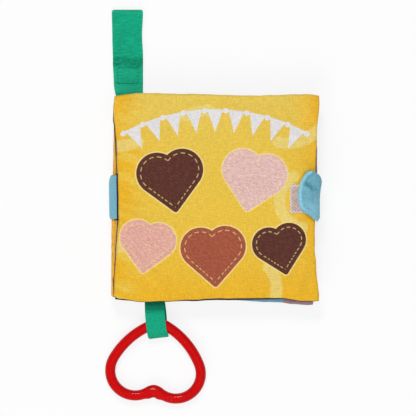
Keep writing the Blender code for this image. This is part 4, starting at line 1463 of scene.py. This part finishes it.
def build_band(fleece):
    """The band: over the spine, down its outer side and flat under the book to the fore-edge."""
    radius = SPINE_MIDDLE.x - BAND_LOW.x - BAND_ON_SPINE / 2 + BAND_SPARE
    outside = SPINE_MIDDLE.x - radius
    floor = BAND / 2
    path = [(x * MM, 0, z * MM) for x, z in BAND_START]
    for k in range(9):
        angle = math.radians(100 + 80 * k / 8)
        path.append((SPINE_MIDDLE.x + radius * math.cos(angle), 0, SPINE_MIDDLE.z + radius * math.sin(angle)))
    path += [(outside + inward * MM, 0, z * MM) for inward, z in BAND_DESCENT]
    path.append((outside + BAND_LANDING, 0, floor))
    run = corners("closure_riser")[1].x - SPINE_MIDDLE.x - 3 * MM
    path += [(SPINE_MIDDLE.x + run * k / 15, 0, floor) for k in range(1, 16)]
    path += [(RISER_OUTER - 0.8 * MM, 0, floor + 0.2 * MM), (RISER_OUTER, 0, 1.4 * MM),
             (RISER_OUTER + 0.1 * MM, 0, 3.4 * MM)]
    length = path_length(path)

    def place(s, t):
        spot = curve_through(path, (t + 1) / 2)
        y = BAND_MIDDLE_Y + s * (BAND_HALF + 0.15 * MM * waver(41, spot.x / (9 * MM), spot.z / (9 * MM)))
        on_spine = within((SPINE_MIDDLE.x + 4 * MM - spot.x) / (4 * MM))
        swell = BAND_SWELL * on_spine * (waver(42, s * 2, spot.z / (5 * MM)) + 0.3)
        outline = outside + BAND_LEAN * (1 - s)
        for side, (turn, drawn_in) in BAND_TURNS.items():
            outline += drawn_in * round_off(max(0, 1 - BAND_HALF * (1 - side * s) / turn))
        return max(spot.x - swell, min(outline, spot.x + 2.2 * MM)), y, spot.z

    band = grid("closure_strap", edged(0.84, 14, 0.89, 0.94, 0.98, 1), even(420), place, fleece,
                lambda s, t: (s * BAND_HALF, t * length / 2))
    thicken(band, BAND, rounded=0.3 * MM)
    declare_sheet(band, "closure_cloth", ["closure_band"], flat=(2 * BAND_HALF, length),
                  held="stretched", rests_on=["spine_roll"])
    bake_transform(band)


def cover_top(front, x, y):
    """The height of the front cover's upper face at a place."""
    s = (x - front.middle.x) / front.half.x
    t = (y - front.middle.y) / front.half.y
    return front.sheet(1)(within(s, -1, 1), within(t, -1, 1))[2]


class Tab:
    """The riser and the tab: one cloth up the fore-edge and over the front cover."""

    def __init__(self, front):
        self.front = front
        self.ends = [(x * MM, y * MM, 0) for x, y in TAB_END]
        self.folds = [(x * MM, y * MM, 0) for x, y in TAB_FOLD]
        self.rim_line = [curve_through(self.ends, k / 60) for k in range(61)]
        self.fold_top = cover_top(front, 70 * MM, 0) + TAB_FOLD_RISE

    def shape(self, x, y):
        """The tab's raised rim, its crease and crumples, and how near its rim a place is."""
        crease_x, crease_y, slope, half_length, width, _depth = TAB_CREASE
        to_rim = min((Vector((x, y, 0)) - point).length for point in self.rim_line)
        rim = hump(to_rim - TAB_RIM_TOP, TAB_RIM_REACH)
        groove = hump(to_rim - TAB_RIM_WIDTH - 0.5 * MM, TAB_GROOVE_REACH)
        dx, dy = x / MM - crease_x, y / MM - crease_y
        across = (dy - slope * dx) / math.hypot(1, slope)
        along = (dx + slope * dy) / math.hypot(1, slope)
        crease = hump(across, width) * hump(along, half_length)
        bulge = hump(across + 3.4, 2.4) * hump(along, 5.5, 4)
        return to_rim, rim, groove, crease, bulge

    def riser(self, s, up, fold):
        """A place on the riser, from the floor up to the fold."""
        start = RISER_OUTER + 0.1 * MM
        y = (BAND_MIDDLE_Y + s * BAND_HALF) * (1 - up**2) + fold.y * up**2
        wave = 0.25 * MM * math.sin(math.pi * up) * (waver(51, y / (8 * MM), up * 2.0) - 0.6)
        return start + (fold.x - start) * up**2 + wave, y, 1.3 * MM + (self.fold_top - 2.6 * MM) * up

    def place(self, s, t):
        share, step = (s + 1) / 2, (t + 1) / 2
        fold, end = curve_through(self.folds, share), curve_through(self.ends, share)
        if step < TAB_TURN:
            return self.riser(s, step / TAB_TURN, fold)
        over = (step - TAB_TURN) / (1 - TAB_TURN)
        reach = over**TAB_REACH_POWER
        x = fold.x + (end.x - fold.x) * reach
        y = fold.y + (end.y - fold.y) * reach
        y += 0.9 * MM * math.sin(math.pi * over) * max(0, (s - 0.6) / 0.4)
        to_rim, rim, groove, crease, bulge = self.shape(x, y)
        level = max(cover_top(self.front, min(x, 71 * MM), y), 21.2 * MM) + TAB_OVER_COVER + TAB / 2
        start = self.fold_top - 1.3 * MM
        rise = 1 - math.exp(-((fold.x - x) / (1.6 * MM)) ** 1.2) if x < fold.x else 0
        inner = min(1, to_rim / (4 * MM))
        relief = 0.45 * MM * rim - 0.4 * MM * groove
        relief += inner * MM * (0.9 - TAB_CREASE[-1] * crease + 0.5 * bulge)
        relief += 0.3 * MM * inner * waver(52, x / (5 * MM), y / (6 * MM))
        relief += 1.2 * MM * hump(y + 14 * MM, 4 * MM)
        return x, y, start + (level - start) * rise + relief * rise

    def pile(self, spot):
        """The tab's tone: lighter at its raised rim, partly its binding's own colour and partly painted
        light; painted shade in the groove inside the rim, in the crease and at the fold; painted light on its
        bulge; its middle darker above and lighter below; and a random mottle.
        """
        # A little deeper on the riser, below the cover's top
        if spot.z <= 20.5 * MM:
            return -0.1
        to_rim, rim, groove, crease, bulge = self.shape(spot.x, spot.y)
        x, y = spot.x / MM, spot.y / MM
        low_end = within((-5 - y) / 5)
        middle = min(1, to_rim / (5 * MM))
        fold = hump(x - 69.9, 1.5) * hump(y - 1.5, 6.0, 4)
        lower = within((4 - y) / 12)
        mottle = 0.3 * middle * waver(53, x / 1.5, y / 1.5)
        # Painted shade in the crease
        crumple_shade = crease * max(0.15, 0.7 + 1.6 * waver(54, x / 1.4, y / 1.4))
        # Lighter at the raised rim, partly the binding's own colour and partly painted light; painted shade
        # in the groove inside it; painted light on the bulge
        light_shade_and_tone = rim * (1 - 0.8 * low_end) - 0.4 * groove * (1 - low_end) + 0.3 * bulge + mottle
        # Painted shade at the fold; the middle is darker above and lighter below
        return light_shade_and_tone - 1.7 * crumple_shade - 0.3 * fold - (0.4 - 0.6 * lower) * middle

    def seam(self):
        """The line of stitches that runs inside the rim."""
        spots = []
        for k in range(4, 57):
            share = k / 60
            wide = (curve_through(self.folds, share) - curve_through(self.ends, share)).length
            over = max(0, 1 - (TAB_RIM_WIDTH + 0.45 * MM) / wide) ** (1 / TAB_REACH_POWER)
            step = TAB_TURN + (1 - TAB_TURN) * over
            x, y, z = self.place(2 * share - 1, 2 * step - 1)
            spots.append((x, y, z + TAB / 2 + 0.05 * MM))
        return spots


def build_tab(front, fleece, thread):
    """The riser and the tab as one cloth, with the stitches inside its rim."""
    tab = Tab(front)
    rows = [2 * (k / 110) - 1 for k in range(104)]
    rows += [rows[-1] + (1 - rows[-1]) * share for share in (0.4, 0.7, 0.9, 1)]
    cloth = grid("closure_tab_cloth", edged(0.955, 56, 0.975, 0.992, 1), rows, tab.place, fleece,
                 lambda s, t: (s * TAB_MAP_HALF, t * TAB_MAP_HALF))
    thicken(cloth, TAB, rounded=0.4 * MM, even_wall=False)
    lay_tone_light_and_shade(cloth, tab.pile)
    width, length, kept_share = 35 * MM, 38 * MM, 0.84
    declare_sheet(cloth, "closure_cloth", ["closure_riser", "closure_tab"], flat=(width, length),
                  area=width * length * kept_share, held="folded", rests_on=["closure_loop_tape"])
    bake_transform(cloth)
    stitches("tab_stitches", stitch_line(tab.seam(), 1.7 * MM), thread, 1.2 * MM, 0.17 * MM,
             "closure_tab")


def build_closure_tapes(front, tape, thread):
    """The loop tape on the front cover, sewn on with a zigzag, and the hook tape under the tab."""
    low, high = corners("closure_loop_patch")
    low -= Vector((0.4 * MM, 1.0 * MM, 0))
    high.y -= 0.3 * MM
    half = (high - low) / 2
    place = lay_tape("closure_loop_tape", "closure_loop_patch", tape, "front_cover", (low + high) / 2, half,
                     lambda x, y: cover_top(front, x, y) + 0.45 * MM, ["front_cover_upper_face"], cells=40)

    zigzag = []
    ends = [(1, 1), (-1, 1), (-1, -1), (1, -1)]
    for (sa, ta), (sb, tb) in zip(ends, ends[1:]):
        size = abs(sb - sa) * half.x + abs(tb - ta) * half.y
        count = 2 * max(2, round(size / STITCH_PITCH))
        spots = []
        for k in range(count + 1):
            s, t = sa + (sb - sa) * k / count, ta + (tb - ta) * k / count
            out, lift = (0.6 * MM, 0.55 * MM) if k % 2 else (-1.1 * MM, 0.85 * MM)
            x, y, _z = place(s, t)
            x, y = (x + out * s, y) if sa == sb else (x, y + out * t)
            spots.append(Vector((x, y, cover_top(front, x, y) + lift)))
        zigzag += zip(spots, spots[1:])
    stitches("loop_tape_stitches", zigzag, thread, 2.1 * MM, 0.3 * MM, "front_cover")

    low, high = corners("closure_hook_patch")
    half = (high - low) / 2
    half.x = HOOK_TAPE_WIDTH / 2
    lay_tape("closure_hook_tape", "closure_hook_patch", tape, "closure_tab", (low + high) / 2, half,
             lambda x, y: cover_top(front, x, y) + 1.15 * MM, ["closure_loop_tape"],
             wall=TAPE * 0.8, rounded=0.1 * MM)


def build_stage():
    """A pale floor, soft studio light from above and behind, and the camera straight overhead."""
    scene = bpy.context.scene
    bpy.ops.object.select_all(action="DESELECT")
    bpy.ops.mesh.primitive_plane_add(size=FLOOR_SIZE, location=(0, 0, -0.2 * MM))
    floor = bpy.context.object
    floor.name = "floor"
    made, g, shader = start_material("pale floor")
    shader.inputs["Base Color"].default_value = FLOOR_GREY
    shader.inputs["Roughness"].default_value = 0.8
    glow = g.fields(g.add("ShaderNodeEmission", {"Color": (1, 1, 1, 1), "Strength": 1.0}))["Emission"]
    paths = g.fields(g.add("ShaderNodeLightPath"))
    seen = g.most(g.most(paths["Is Camera Ray"], paths["Is Glossy Ray"]), paths["Is Transmission Ray"])
    blend = g.add("ShaderNodeMixShader",
                  {0: seen * FLOOR_GLOW_SHARE, 1: Field(g, shader.outputs[0]), 2: glow})
    g.feed(made.node_tree.nodes["Material Output"].inputs["Surface"], Field(g, blend.outputs[0]))
    floor.data.materials.append(made)

    scene.world = bpy.data.worlds.new("studio")
    scene.world.use_nodes = True
    sky = scene.world.node_tree.nodes["Background"].inputs
    sky["Color"].default_value = (1, 1, 1, 1)
    sky["Strength"].default_value = SKY_LIGHT
    for name, (place, size, power, shines) in LAMPS.items():
        lamp = bpy.data.lights.new(name, "AREA")
        lamp.size = size
        lamp.energy = power
        made = bpy.data.objects.new(name, lamp)
        scene.collection.objects.link(made)
        made.location = place
        made.visible_glossy = shines
        made.rotation_mode = "QUATERNION"
        made.rotation_quaternion = (-Vector(place)).to_track_quat("-Z", "Y")

    camera = bpy.data.cameras.new("camera")
    camera.sensor_width = SENSOR_WIDTH
    camera.lens = SENSOR_WIDTH * CAMERA_DISTANCE / (PIXEL * PHOTO_PIXELS)
    camera.clip_start, camera.clip_end = 0.1, 20
    made = bpy.data.objects.new("camera", camera)
    scene.collection.objects.link(made)
    made.location = (*PHOTO_MIDDLE, corners("front_cover_upper_cloth")[1].z + CAMERA_DISTANCE)
    scene.camera = made
    scene.view_settings.view_transform = "Standard"


def main():
    build_stage()
    print_front = printed_cloth("printed cover cloth", FRONT_HEARTS, FRONT_STROKES, True)
    print_back = printed_cloth("printed back cloth", BACK_HEARTS, BACK_STROKES, False, mirrored=True)
    print_edge = plain_cloth("orange spine cloth", SPINE_YELLOW, crease_shade=SPINE_CREASE_SHADE)
    navy = plain_cloth("navy lining", NAVY)
    sky = plain_cloth("sky page cloth", SKY, patch=((248.5, -60), 200, MAUVE))
    mint = plain_cloth("mint page cloth", MINT, dots=BUNTING)
    cloud = plain_cloth("pale sky page cloth", SKY, dots=BUNTING)
    fleece = yarn_cloth("blue fleece", (FLEECE, FLEECE_DEEP, FLEECE_LIGHT), BRUSHED, FLEECE_TUFTS,
                        FLEECE_RELIEF, 0.3)
    jades = (JADE, JADE_DEEP, JADE_LIGHT)
    web = yarn_cloth("green webbing", jades, RIBBED, WEB_RIBS, WEB_RELIEF, 0.1)
    soft_web = yarn_cloth("green ribbon", jades, BRUSHED, RIBBON_TUFTS, RIBBON_RELIEF, 0.1)
    tape = tape_material()

    build_spine(print_edge)
    channel = (BAND_LOW.y - CHANNEL_MARGIN, BAND_HIGH.y + CHANNEL_MARGIN, CHANNEL_DEPTH)
    back = Leaf("back_cover", BACK_SIDES, 4, channel)
    leaf_2 = Leaf("leaf_2", LEAF_2_SIDES, 3)
    leaf_1 = Leaf("leaf_1", LEAF_1_SIDES, 2)
    front = Leaf("front_cover", FRONT_SIDES, 1, roll=FRONT_ROLL, spine_roll=FRONT_SPINE_ROLL)
    build_leaf(back, navy, print_back, "cover_lining", "cover_print", "book_back")
    build_leaf(leaf_2, sky, cloud, "page_pink", "page_sky", "leaf_2")
    build_leaf(leaf_1, cloud, mint, "page_sky", "page_mint", "leaf_1")
    build_leaf(front, print_front, navy, "cover_print", "cover_lining", "front_cover")
    build_strip(back, print_edge, "cover_print", "book_back", COVER_INWARD, cut_out=False)
    build_strip(leaf_2, sky, "page_sky", "leaf_2", PAGE_INWARD)
    build_strip(leaf_1, mint, "page_mint", "leaf_1", PAGE_INWARD)
    build_strip(front, print_edge, "cover_print", "front_cover", COVER_INWARD)
    build_band(fleece)
    build_tab(front, fleece, thread_material("blue thread", BLUE_THREAD))
    build_closure_tapes(front, tape, thread_material("pale thread", PALE_THREAD))
    build_strap(web, tape, thread_material("green thread", GREEN_THREAD))
    build_ribbon(soft_web)
    build_heart(teether_material())


main()
